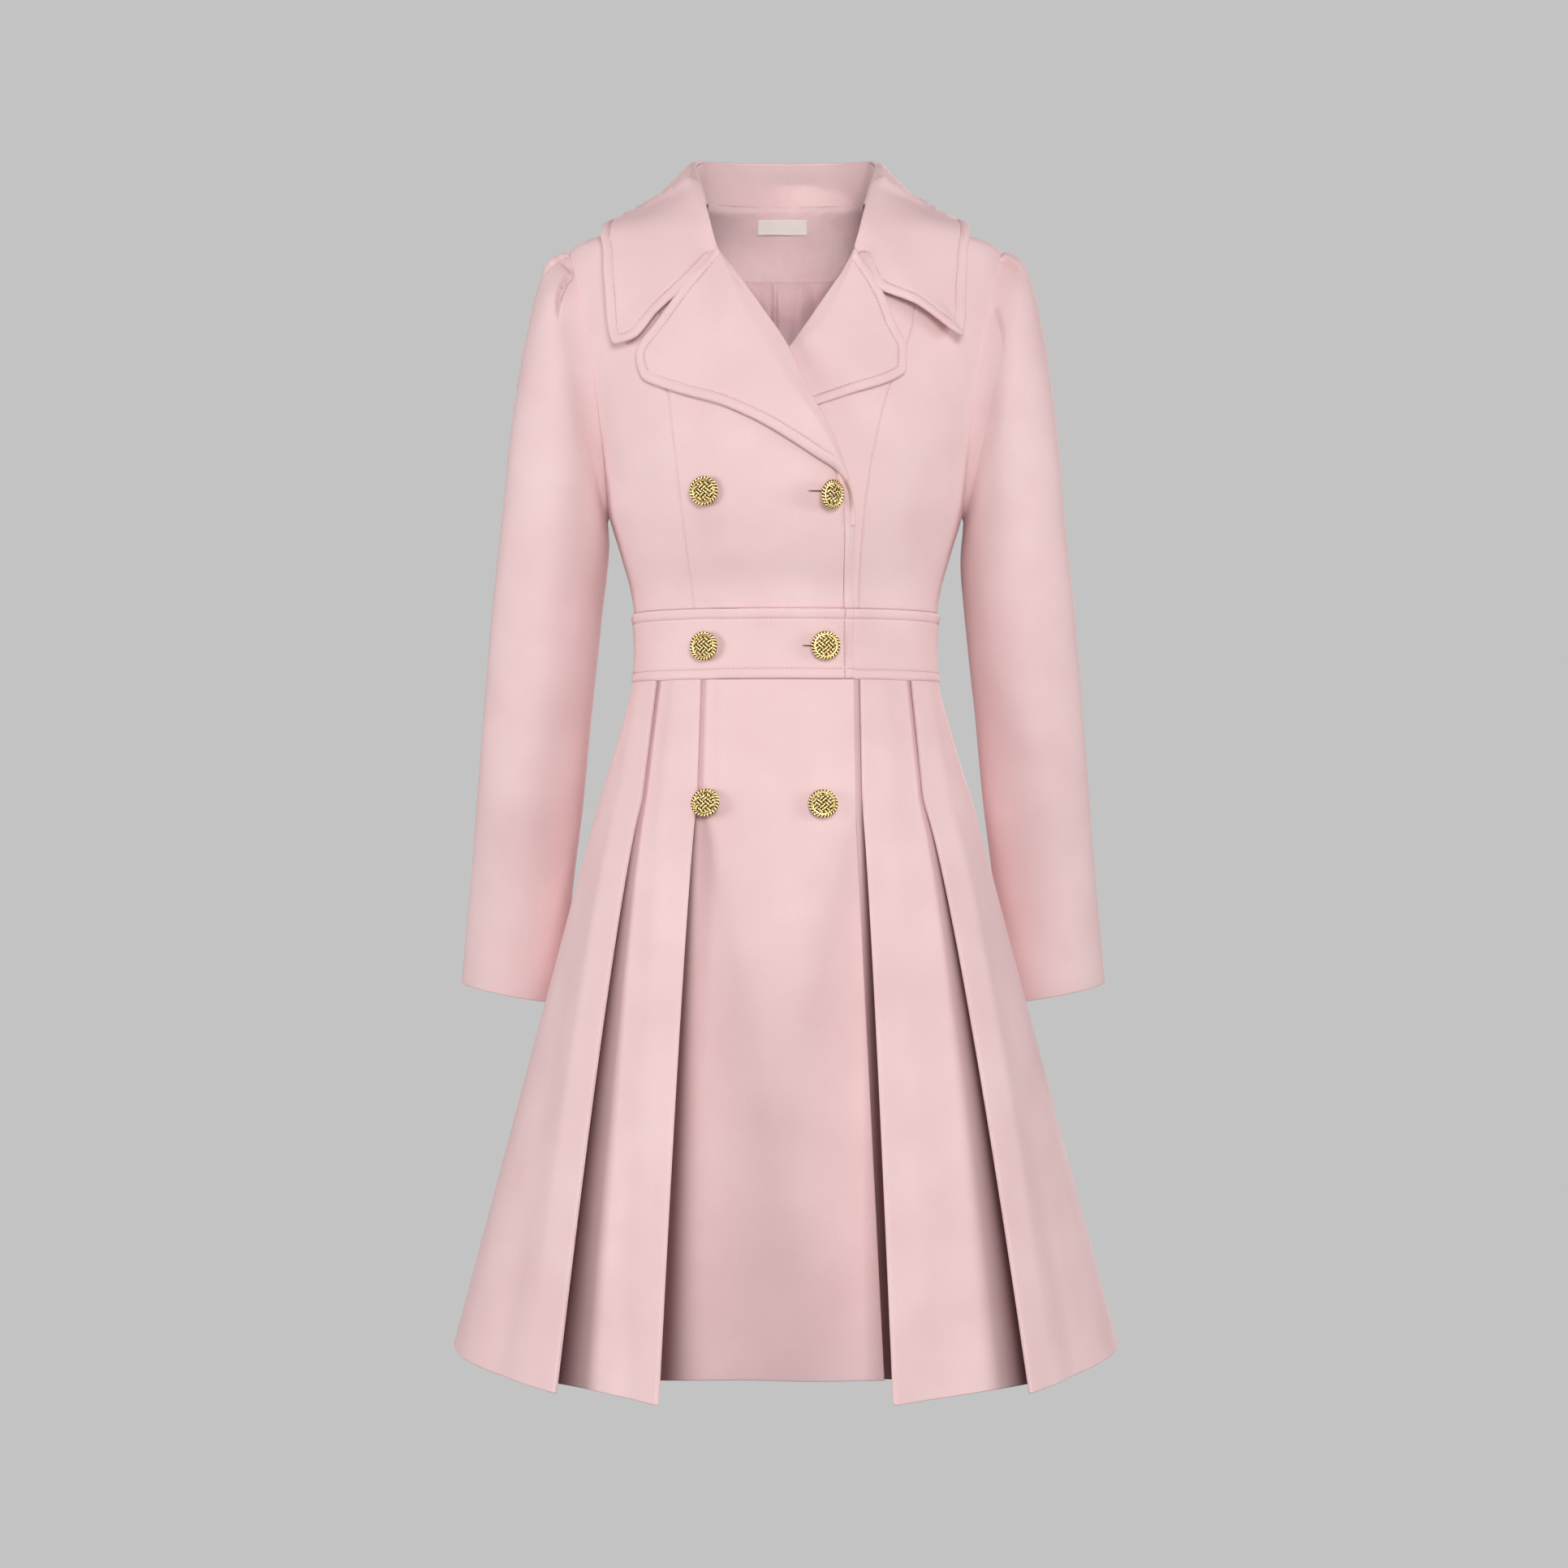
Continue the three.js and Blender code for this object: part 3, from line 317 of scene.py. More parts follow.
BODY = table(
    "z half front back",
    (0, 78, 46, 62),
    (-14, 104, 55, 70),
    (-28, 133, 63, 78),
    (-50, 183, 74, 86),
    (-75, 186, 86, 92),
    (-107, 182, 98, 98),
    (-170, 170, 116, 100),
    (-220, 159, 125, 96),
    (-272, 150, 121, 88),
    (-309, 139, 112, 82),
    (-344, 130, 101, 78),
    (-386, 126, 97, 77),
    (-415, 128, 100, 79),
    (-448, 136, 111, 90),
    (-482, 146, 122, 102),
    (-516, 157, 132, 113),
)


def body(column, z):
    """One size of the body at a height."""
    return curve(BODY, "z", column, z)


def body_point(turn, z):
    """Superellipse: x = half sin(turn) r and y = -depth cos(turn) r, where r keeps
    |sin|^p + |cos|^p of the direction at 1 and p is the squareness."""
    s, c = np.sin(turn), np.cos(turn)
    reach = (abs(s) ** SQUARENESS + abs(c) ** SQUARENESS) ** (-1 / SQUARENESS)
    depth = np.where(c > 0, body("front", z), body("back", z))
    return point(body("half", z) * s * reach, -depth * c * reach, z)


def body_normal(turn, z):
    """Across the body times up it, both as small differences."""
    d = 1e-3
    low = np.clip(z, HIP + 1, NECK - 1)
    across = body_point(turn + d, low) - body_point(turn - d, low)
    up = body_point(turn, low + 0.5) - body_point(turn, low - 0.5)
    return unit(np.cross(across, up))


def turn_at_x(x, z, behind=False):
    """The turn from the centre front at which the body is x wide, on the front or behind."""
    share = np.clip(abs(x) / body("half", z), 0, 1) ** SQUARENESS
    turn = np.arctan2(share ** (1 / SQUARENESS), (1 - share) ** (1 / SQUARENESS))
    return np.where(np.asarray(x) < 0, -1, 1) * (np.pi - turn if behind else turn)


def armhole_turn(z, behind):
    """The armhole's edge: an upright oval seen from the side."""
    middle, tall = (SHOULDER_END + UNDERARM) / 2, (SHOULDER_END - UNDERARM) / 2
    y = ARMHOLE_HALF_DEPTH * np.sqrt(np.maximum(0, 1 - ((z - middle) / tall) ** 2))
    share = np.clip(y / body("back" if behind else "front", z), 0, 1) ** SQUARENESS
    turn = np.arctan2((1 - share) ** (1 / SQUARENESS), share ** (1 / SQUARENESS))
    return np.pi - turn if behind else turn


def side_turn(z, behind):
    """Side seam, armhole, then shoulder seam."""
    in_armhole = (z > UNDERARM) & (z < SHOULDER_END)
    return np.where(in_armhole, armhole_turn(z, behind), SIDE)


# %% [markdown]
# A sewn piece is a grid. Points lie close together beside its edges, where pressing and sewing change
# the surface within a few millimetres, and further apart between them. The helper below sets points
# at fixed distances from both ends of a line and evenly between.

# %% Spacing of a grid
PLAIN_STEPS = np.array([0, 0.35, 0.9, 1.6, 2.6, 4.2])
HEAD_STEPS = np.concatenate([PLAIN_STEPS, np.arange(5.6, 92, 1.4)])
STITCHED_STEPS = np.array(
    [0, 0.25, 0.6, 1.1, 1.8, 2.8, 4, 5.2, 6.2, 6.9, 7.4, 7.8, 8.2, 8.7, 9.4, 10.6, 12.5, 15.5]
)
EVEN_STEPS = np.array([0.0])


def spread(length, near, far, count):
    """Shares of a line: the near distances over its length, an even middle, then the far ones."""
    length = np.asarray(length, float)[..., None]
    fit = lambda steps: steps * np.minimum(1, 0.45 * length / max(steps[-1], 1e-6)) / length
    start = fit(near)
    end = 1 - fit(far)[..., ::-1]
    middle = mix(start[..., -1:], end[..., :1], np.linspace(0, 1, count + 1)[1:-1])
    return np.concatenate([start, middle, end], -1)


def steps_between(points, axis):
    """Distances from each point of a grid to the next one along an axis."""
    return np.linalg.norm(np.diff(points, axis=axis), axis=-1)


def arc(points, axis):
    """Distance run along a grid's lines, starting at 0."""
    run = np.cumsum(steps_between(points, axis), axis=axis)
    start = np.zeros_like(np.take(run, [0], axis=axis))
    return np.concatenate([start, run], axis=axis)


def grid_normals(points, side, wrap=False):
    """Across the grid times along it. side says which of its two faces is out."""
    if wrap:
        across = np.roll(points, -1, axis=1) - np.roll(points, 1, axis=1)
    else:
        across = np.gradient(points, axis=1)
    return unit(np.cross(across, np.gradient(points, axis=0))) * side


# %% [markdown]
# Pressing gives each kind of edge its own section. A plain seam sinks, because the cloth turns inwards
# there. A turned edge is round. A topstitched edge is round, then full over the seam allowance inside
# it, then pulled down by the thread, which is what makes the soft padded border on collar and lapels.

# %% Edge sections
STITCH_INSET = 8.0
SEAM_SINK = 1.0
SEAM_REACH = 2.4
TURNED_FULLNESS = 0.3
NEARLY_UPRIGHT = 0.97


def rounded(distance, radius):
    """How far a round edge falls away: r - sqrt(r^2 - (r - d)^2), stopped just short of upright."""
    short = np.clip(1 - distance / radius, 0, 1)
    return radius * (1 - np.sqrt(1 - (NEARLY_UPRIGHT * short) ** 2))


def seam_section(distance, wall):
    """A valley that deepens with the square of the nearness to the seam."""
    return -SEAM_SINK * np.clip(1 - distance / SEAM_REACH, 0, 1) ** 2, 0 * distance


def turned_section(distance, wall):
    """Round on both faces, with a little fullness over the turned hem."""
    fall = rounded(distance, wall / 2)
    return TURNED_FULLNESS * bell(distance - 6, 5) - fall, fall


def padded_edge(distance, fullness, pull):
    """Fullness as half a sine wave up to the stitch line, then the thread's narrow valley."""
    inside = np.clip(distance / STITCH_INSET, 0, 1)
    puff = fullness * np.sin(np.pi * inside) ** 0.8
    valley = -pull * bell(distance - STITCH_INSET, 1)
    beyond = np.clip(distance - STITCH_INSET, 0, 60)
    ease = 0.45 * pull * (1 - np.exp(-beyond / 1.6)) * np.exp(-beyond / 7)
    return puff + valley + ease


def stitched_section(distance, wall):
    """A padded, topstitched free edge."""
    fall = rounded(distance, wall / 2)
    return padded_edge(distance, 0.9, 0.8) - fall, fall


def stitched_seam_section(distance, wall):
    """A seam with topstitching beside it, as on the waistband."""
    sink, none = seam_section(distance, wall)
    return sink + padded_edge(distance, 0.45, 0.55), none


SECTIONS = {
    "seam": (seam_section, PLAIN_STEPS),
    "sleeve_head": (None, HEAD_STEPS),
    "turned": (turned_section, PLAIN_STEPS),
    "stitched": (stitched_section, STITCHED_STEPS),
    "stitched_seam": (stitched_seam_section, STITCHED_STEPS),
    "hidden": (None, PLAIN_STEPS),
    "even": (None, EVEN_STEPS),
}

# %% [markdown]
# From grid to mesh: the outer face, the inner face and a rim between them, written in one go as arrays.
# The piece keeps a map called cloth, in metres of cloth across and along, for the woven finishes.

# %% Mesh writer


def quads(ids):
    """The four corners of each square of a grid."""
    return np.stack([ids[:-1, :-1], ids[:-1, 1:], ids[1:, 1:], ids[1:, :-1]], -1).reshape(-1, 4)


def stand(name, data):
    """A new object in the scene."""
    made = bpy.data.objects.new(name, data)
    bpy.context.scene.collection.objects.link(made)
    return made


def write_mesh(name, vertices, faces, material, maps=None):
    """A smooth mesh out of arrays of vertices in millimetres and four-cornered faces."""
    mesh = bpy.data.meshes.new(name)
    mesh.vertices.add(len(vertices))
    mesh.vertices.foreach_set("co", (vertices * MM).astype(np.float32).ravel())
    mesh.loops.add(faces.size)
    mesh.loops.foreach_set("vertex_index", faces.astype(np.int32).ravel())
    mesh.polygons.add(len(faces))
    mesh.polygons.foreach_set("loop_start", np.arange(0, faces.size, 4, dtype=np.int32))
    mesh.polygons.foreach_set("use_smooth", np.ones(len(faces), bool))
    mesh.update(calc_edges=True)
    if maps is not None:
        layer = mesh.uv_layers.new(name="cloth")
        layer.data.foreach_set("uv", (maps[faces.ravel()] * MM).astype(np.float32).ravel())
    mesh.materials.append(material)
    return stand(name, mesh)


def facing_out(vertices, faces):
    """Turns all faces round if the volume that they enclose comes out negative."""
    a, b, c, d = (vertices[faces[:, k]] for k in range(4))
    volume = (a * np.cross(b, c)).sum() + (a * np.cross(c, d)).sum()
    return faces if volume > 0 else faces[:, ::-1]


def write_shell(name, outer, inner, material, wrap=False):
    """Closed cloth: outer grid, inner grid, and the rim round their edges."""
    rows, columns = outer.shape[:2]
    total = rows * columns
    ids = np.arange(total).reshape(rows, columns)
    if wrap:
        ids = np.concatenate([ids, ids[:, :1]], axis=1)
        loops = [ids[0], ids[-1, ::-1]]
    else:
        loops = [np.concatenate([ids[0], ids[1:, -1], ids[-1, -2::-1], ids[-2::-1, 0]])]
    rims = [np.stack([p[1:], p[:-1], p[:-1] + total, p[1:] + total], -1) for p in loops]
    faces = np.concatenate([quads(ids), quads(ids)[:, ::-1] + total, *rims])
    vertices = np.concatenate([outer.reshape(-1, 3), inner.reshape(-1, 3)])
    flat = np.stack([arc(outer, 1), arc(outer, 0)], -1).reshape(-1, 2)
    return write_mesh(name, vertices, facing_out(vertices, faces), material, np.tile(flat, (2, 1)))


# %% [markdown]
# One call sews one piece: it spaces the grid and works out its surface. The skirt's panels space their
# own grids, and go through make_up too.

# %% Sewing a piece
SIDES = ("left", "right", "low", "high")
THINNEST = 0.25
ROUGH_POINTS = 41
sewn = {}


def distance_to(points, line):
    """The shortest distance from each point to a line of short segments."""
    start, along = line[:-1], np.diff(line, axis=0)
    flat = points.reshape(-1, 1, 3) - start
    share = np.clip((flat * along).sum(-1) / np.maximum((along**2).sum(-1), 1e-9), 0, 1)
    return np.linalg.norm(flat - share[..., None] * along, axis=-1).min(1).reshape(points.shape[:2])


def edge_distances(points):
    """How far each point lies from each side of its grid, measured along the cloth."""
    across, along = arc(points, 1), arc(points, 0)
    return dict(zip(SIDES, (across, across[:, -1:] - across, along, along[-1:] - along)))


def cut_size(points, wrap):
    """Widest and longest line of the grid, and its area, in metres: the cloth that shows."""
    closed = np.concatenate([points, points[:, :1]], axis=1) if wrap else points
    across, along = np.diff(closed, axis=1)[:-1], np.diff(closed, axis=0)[:, :-1]
    area = np.linalg.norm(np.cross(across, along), axis=-1).sum() * MM**2
    width = steps_between(closed, 1).sum(1).max() * MM
    length = steps_between(closed, 0).sum(0).max() * MM
    return round(float(width), 3), round(float(length), 3), round(float(area), 4)


def make_up(node, points, normals, distance, edges, soft, wall, rests_on, held="hung", wrap=False,
            cloth=COATING, slot="coating"):
    """Adds the edges' sections to the soft folds, writes the cloth, puts it on the frame and works out
    the size of its sheet."""
    height, under = soft, 0 * soft
    for kind, side in zip(edges, SIDES):
        section = SECTIONS[kind][0]
        if section:
            top, bottom = section(distance[side], wall)
            height, under = height + top, under + bottom
    outer = points + normals * height[..., None]
    inner = points + normals * np.minimum(soft - wall + under, height - THINNEST)[..., None]
    made = write_shell("cloth_" + node, outer, inner, cloth, wrap)
    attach(made, "root")
    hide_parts(node)
    width, length, area = cut_size(outer, wrap)
    sewn[node] = {"outer": outer, "normals": normals, "distance": distance}
    print(node, "cut", width, "x", length, "m,", len(made.data.polygons), "faces")
    return made


def sew(node, surface, edges, count, wall=CLOTH, folds=None, rests_on=(), askew=False, **how):
    """surface(across, up) gives points and outward normals for shares from 0 to 1. edges names the
    section of the left, right, low and high edge. folds(points, across, up) is added height. Where
    the grid runs askew to its right edge, the distance to that edge is measured straight."""
    shares = np.linspace(0, 1, ROUGH_POINTS)
    rough = surface(*np.meshgrid(shares, shares))[0]
    left, right, low, high = (SECTIONS[kind][1] for kind in edges)
    up = spread(steps_between(rough, 0).sum(0).max(), low, high, count[1])
    widths = np.interp(up, shares, steps_between(rough, 1).sum(1))
    across = spread(np.maximum(widths, 2), left, right, count[0])
    if how.get("wrap"):
        across = across[:, :-1]
    up = np.repeat(up[:, None], across.shape[1], axis=1)
    points, normals = surface(across, up)
    distance = edge_distances(points)
    if askew:
        distance["right"] = distance_to(points, points[:, -1])
    soft = folds(points, across, up) if folds else 0 * up
    make_up(node, points, normals, distance, edges, soft, wall, rests_on, **how)


# %% [markdown]
# Sewing thread is what holds the padded borders down. Each stitch is a short rounded bar of thread
# whose ends dip into the cloth, laid one after another along a line of the piece. The real thread is
# about 0.4 mm thick; it is drawn a little thicker so that it shows.

# %% Topstitching
STITCH_PITCH = 3.4
THREAD_WIDTH = 0.62
RINGS = 5
RING_POINTS = 6


def stitch_line(node, side, part=(0, 1)):
    """Where the rows of a sewn grid cross the stitches' distance from one of its edges."""
    piece = sewn[node]
    points, normals, distance = piece["outer"], piece["normals"], piece["distance"][side]
    if side in ("low", "high"):
        points, normals, distance = points.swapaxes(0, 1), normals.swapaxes(0, 1), distance.T
    if side in ("right", "high"):
        points, normals, distance = points[:, ::-1], normals[:, ::-1], distance[:, ::-1]
    past = distance >= STITCH_INSET
    crosses = past.any(1) & (distance[:, 0] < 1)
    k = np.maximum(np.argmax(past, axis=1), 1)
    row = np.arange(len(k))
    before, after = distance[row, k - 1], distance[row, k]
    t = ((STITCH_INSET - before) / (after - before))[:, None]
    line = mix(points[row, k - 1], points[row, k], t)[crosses]
    outward = mix(normals[row, k - 1], normals[row, k], t)[crosses]
    first, last = (int(round(p * (len(line) - 1))) for p in part)
    return line[first : last + 1], outward[first : last + 1]


def write_stitches(name, lines, pitch=STITCH_PITCH, width=THREAD_WIDTH, raise_by=0.1):
    """Bars of five rings of six points. Each ring has its place along the stitch, its radius, and how
    deep it dips into the cloth, as shares of the pitch or the thread's width."""
    place = np.array([-0.46, -0.3, 0.0, 0.3, 0.46]) * pitch
    radius = np.array([0.35, 0.85, 1.0, 0.85, 0.35]) * width / 2
    dip = np.array([-0.34, -0.06, 0.04, -0.06, -0.34]) * width
    angle = np.arange(RING_POINTS) * 2 * np.pi / RING_POINTS
    bars = []
    for line, outward in lines:
        run = arc(line[:, None], 0)[:, 0]
        at = np.arange(pitch / 2, run[-1], pitch)
        ahead = read_along(at + 0.5, run, line) - read_along(at - 0.5, run, line)
        ahead = unit(ahead)[:, None, None]
        out = unit(read_along(at, run, outward))[:, None, None]
        aside = np.cross(ahead, out)
        ring = aside * np.cos(angle)[:, None] + out * np.sin(angle)[:, None]
        middle = read_along(at, run, line)[:, None, None] + ahead * place[:, None, None]
        bars.append(middle + out * (dip + raise_by)[:, None, None] + ring * radius[:, None, None])
    vertices = np.concatenate(bars)
    ids = np.arange(RINGS * RING_POINTS).reshape(RINGS, RING_POINTS)
    skin = quads(np.concatenate([ids, ids[:, :1]], axis=1))
    start, end = ids[0], ids[-1]
    caps = [start[[0, 3, 2, 1]], start[[0, 5, 4, 3]], end[[0, 1, 2, 3]], end[[0, 3, 4, 5]]]
    one = np.concatenate([skin, np.array(caps)])
    faces = (np.arange(len(vertices))[:, None, None] * ids.size + one).reshape(-1, 4)
    flat = vertices.reshape(-1, 3)
    made = write_mesh(name, flat, facing_out(flat, faces), THREAD)
    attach(made, "root")
    print(name, len(vertices), "stitches")


# %% [markdown]
# Cloth is never quite flat. A soft fold is a ridge or a hollow along a short line, and its height falls
# off on both sides of that line. The folds are listed one row of a table each: the two ends of the
# line, its width and its height. They lie where the photograph shows them and in like places on
# the back.

# %% Soft folds


def fold_field(*rows):
    """Sum of height e^-(d/width)^2, where d is the distance in the plane of a picture from the line
    between two points; it fades out towards both ends of the line."""

    def height(points, across, up):
        total = np.zeros(points.shape[:-1])
        for x0, z0, x1, z1, width, rise in rows:
            dx, dz = x1 - x0, z1 - z0
            share = ((points[..., 0] - x0) * dx + (points[..., 2] - z0) * dz) / (dx * dx + dz * dz)
            held = np.clip(share, 0, 1)
            near = np.hypot(points[..., 0] - x0 - held * dx, points[..., 2] - z0 - held * dz)
            total = total + rise * (4 * held * (1 - held)) ** 0.7 * bell(near, width)
        return total

    return height


# %% [markdown]
# The bodice: centre front and side front panels joined by princess seams, side back panels and one
# centre back. Each panel lies between two lines on the body, so its surface is the body itself, read
# between those lines.

# %% Bodice lines
PRINCESS_RIGHT = table(
    "z x", (-20, -117), (-60, -111), (-120, -103), (-176, -96), (-223, -91), (-280, -84), (-357, -75)
)
PRINCESS_LEFT = table(
    "z x",
    (-20, 117),
    (-60, 112),
    (-126, 103),
    (-168, 87),
    (-206, 76),
    (-257, 66),
    (-323, 60),
    (-357, 59),
)
PRINCESS_BACK = table("z x", (-20, 117), (-120, 98), (-230, 72), (-357, 55))
EDGE_RIGHT = table(
    "z x",
    (0, -77.9),
    (-8, -75),
    (-30, -66),
    (-65, -53),
    (-149, 2),
    (-193, 22),
    (-217, 35),
    (-244, 46),
    (-281, 53.5),
    (-357, 54.5),
)
EDGE_LEFT = table(
    "z x",
    (0, 77.9),
    (-8, 75),
    (-30, 66),
    (-65, 54),
    (-149, 2),
    (-195, -30),
    (-225, -38),
    (-357, -38),
)


FLAT_LAP = 2.4
LAPEL_LAP = 6.8


def overlap(x, z):
    """How far the right front stands off the left one: a soft step in x, deeper beside the lapels."""
    bulk = mix(FLAT_LAP, LAPEL_LAP, soft_step(-345, -290, z))
    return bulk * soft_step(-75, -45, x) * (1 - soft_step(-110, -60, z))


def seam_line(rows, top, behind=False, sign=1):
    """A seam between the waist and a top height, as turns and heights."""

    def line(up):
        z = mix(WAIST_TOP, top, up)
        return turn_at_x(sign * curve(rows, "z", "x", z), z, behind), z

    return line


def side_line(sign, behind):
    """Side seam and armhole."""

    def line(up):
        z = mix(WAIST_TOP, SHOULDER_END, up)
        return sign * side_turn(z, behind), z

    return line


def between(near, far, lift=None):
    """A surface on the body: turn and height are mixed from one line to the other."""

    def surface(across, up):
        (turn_a, z_a), (turn_b, z_b) = near(up), far(up)
        turn, z = mix(turn_a, turn_b, across), mix(z_a, z_b, across)
        base, out = body_point(turn, z), body_normal(turn, z)
        raised = 0 if lift is None else lift(base[..., 0], z)
        return base + out * (raised + 0 * z)[..., None], out

    return surface


# %% Front panels
FRONT_FOLDS = fold_field(
    (-150, -245, -112, -262, 9, -1.0),
    (-152, -225, -118, -215, 10, 0.8),
    (-146, -262, -120, -290, 8, 0.8),
    (148, -240, 112, -255, 9, -0.9),
    (150, -222, 120, -212, 10, 0.8),
    (-140, -110, -128, -190, 12, -1.0),
    (142, -112, 131, -185, 12, -1.3),
    (-88, -190, -78, -330, 14, 0.8),
    (20, -300, 36, -350, 12, 0.5),
    (-30, -315, -60, -345, 11, -0.7),
    (98, -200, 90, -320, 13, 0.9),
)
ALL_SEAMS = ("seam",) * 4
right_princess = seam_line(PRINCESS_RIGHT, MID_SHOULDER)
left_princess = seam_line(PRINCESS_LEFT, MID_SHOULDER)
lapped_front = between(right_princess, seam_line(EDGE_RIGHT, NECK), overlap)
under_front = between(seam_line(EDGE_LEFT, NECK), left_princess)
front_panels = (
    ("front_centre_right", lapped_front, ("seam", "stitched", "seam", "seam"), 46),
    ("front_side_right", between(side_line(-1, False), right_princess), ALL_SEAMS, 40),
    ("front_centre_left", under_front, ("turned", "seam", "seam", "seam"), 40),
    ("front_side_left", between(left_princess, side_line(1, False)), ALL_SEAMS, 40),
)
for node, surface, edges, columns in front_panels:
    sew(node, surface, edges, (columns, 90), folds=FRONT_FOLDS)

# %% Back panels
BACK_FOLDS = fold_field(
    (-148, -240, -110, -256, 9, -1.5),
    (-150, -220, -112, -206, 10, 1.2),
    (149, -246, 114, -264, 9, -1.6),
    (150, -226, 118, -214, 10, 1.3),
    (-60, -325, -18, -338, 8, -1.1),
    (56, -318, 12, -330, 8, -1.2),
    (-34, -300, 6, -308, 9, 0.9),
    (-112, -90, -100, -180, 13, 1.0),
    (114, -95, 101, -186, 13, 1.1),
    (-44, -60, -62, -130, 12, -0.7),
    (48, -66, 63, -128, 12, -0.8),
)


def back_centre(across, up):
    """From one back princess seam round to the other; the top edge climbs to the neck in the middle."""
    turn, low = seam_line(PRINCESS_BACK, MID_SHOULDER, True)(up)
    neck_share = soft_step(0, 0.56, 1 - abs(2 * across - 1))
    z = mix(low, mix(WAIST_TOP, NECK, up), neck_share)
    turn = mix(turn, 2 * np.pi - turn, across)
    return body_point(turn, z), body_normal(turn, z)


right_back_line = seam_line(PRINCESS_BACK, MID_SHOULDER, True, -1)
left_back_line = seam_line(PRINCESS_BACK, MID_SHOULDER, True)
back_panels = (
    ("back_side_right", between(right_back_line, side_line(-1, True)), 36),
    ("back_side_left", between(side_line(1, True), left_back_line), 36),
    ("back_centre", back_centre, 70),
)
for node, surface, columns in back_panels:
    sew(node, surface, ALL_SEAMS, (columns, 80), folds=BACK_FOLDS)

# %% [markdown]
# The waistband is two layers of coating turned and topstitched along both edges. It stands a little
# proud of the bodice and the skirt, and its right end laps over like the front does.

# %% Waistband
BAND_LIFT = 2.6
BAND_LAP = 3.5


def band_lap(x):
    """How far the band's right end stands off the left one."""
    return BAND_LAP * soft_step(-72, -45, x)


def waistband(node, start, end, left, right, lap=None):
    """The body between two turns and the two edges of the band, moved out."""
    line = lambda turn: lambda up: (turn + 0 * up, mix(WAIST_LOW, WAIST_TOP, up))
    lift = lambda x, z: BAND_LIFT + (lap(x) if lap else 0 * x)
    edges = (left, right, "stitched_seam", "stitched_seam")
    sew(node, between(line(start), line(end), lift), edges, (60, 16), DOUBLE)


waistband("waistband_right", -SIDE, turn_at_x(54.5, WAIST_TOP), "seam", "stitched", band_lap)
waistband("waistband_left", turn_at_x(-38, WAIST_TOP), SIDE, "turned", "seam")
waistband("waistband_back", SIDE, 3 * SIDE, "seam", "seam")

# %% [markdown]
# The skirt hangs in knife pleats. Each is pressed flat and stitched down to the hip, then opens towards
# the hem. Seen from above a panel is a folded line: its corners are worked out at every height, and
# each corner is rounded by a short bend.

# %% Pleat lines
FOLD_GAP_TOP = 3.7
FOLD_GAP_HEM = 8
UNDER = 0.8
FOLD_LIFT = UNDER + FOLD_GAP_TOP
SWING = 456
FOLD_EASE = 0.8
NOSE_LEAN = 0.35
SIDE_HEM = {"x": 280, "y": 20}
NEAR_SEAM = {"turn": 1.35, "x": 277, "ahead": 62}
SPOTS = ("seam_in", "fold_in", "shelf_in", "valley", "fold_out", "seam_out", "shelf_out")


def spot(waist, hip, hem, y):
    """A spot of the skirt: how far it is from the middle at three heights, and its depth at the hem."""
    return {"waist": waist, "hip": hip, "hem": hem, "y": y}


def two_pleats(*rows):
    """The seven spots of an inner and an outer pleat, a row each of waist, hip, hem and y."""
    return {name: spot(*row) for name, row in zip(SPOTS, rows)}


PLEATS = {
    "right": two_pleats(
        (84, 92, 126, -150),
        (68.5, 71, 97, -236),
        (87, 96, 116, -218),
        (99, 110, 160, -176),
        (104, 115, 178, -197),
        (114, 128, 198, -150),
        (117, 133, 203, -168),
    ),
    "left": two_pleats(
        (75, 80, 112, -152),
        (60, 61, 82, -236),
        (78, 84, 110, -218),
        (96, 105, 172, -178),
        (101, 110, 189, -197),
        (112, 124, 208, -150),
        (115, 129, 211, -167),
    ),
    "back_right": two_pleats(
        (62, 70, 112, 138),
        (46, 50, 84, 208),
        (65, 74, 108, 192),
        (87, 101, 158, 158),
        (92, 106, 180, 176),
        (105, 121, 200, 138),
        (108, 126, 204, 152),
    ),
    "back_left": two_pleats(
        (62, 70, 112, 138),
        (47, 51, 86, 206),
        (66, 75, 110, 190),
        (87, 101, 160, 157),
        (92, 106, 181, 175),
        (105, 121, 201, 138),
        (108, 126, 205, 151),
    ),
}


def swung(z):
    """Share of the way from the hip down to the hem."""
    return np.clip((HIP - z) / SWING, 0, 1)


def skirt_point(spot, z, sign, behind, lift=0, ease=1):
    """On the body above the hip; below it, straight on to the spot's place at the hem, with an ease
    that says how soon it swings out."""
    high = np.maximum(z, HIP)
    if "turn" in spot:
        turn = spot["turn"] + 0 * z
    else:
        width = mix(spot["waist"], spot["hip"], (WAIST_LOW - high) / (WAIST_LOW - HIP))
        turn = abs(turn_at_x(width, high, behind))
    top = body_point(turn, high) + body_normal(turn, high) * lift
    swing = swung(z) ** ease
    return point(sign * mix(top[..., 0], spot["hem"], swing), mix(top[..., 1], spot["y"], swing), z)


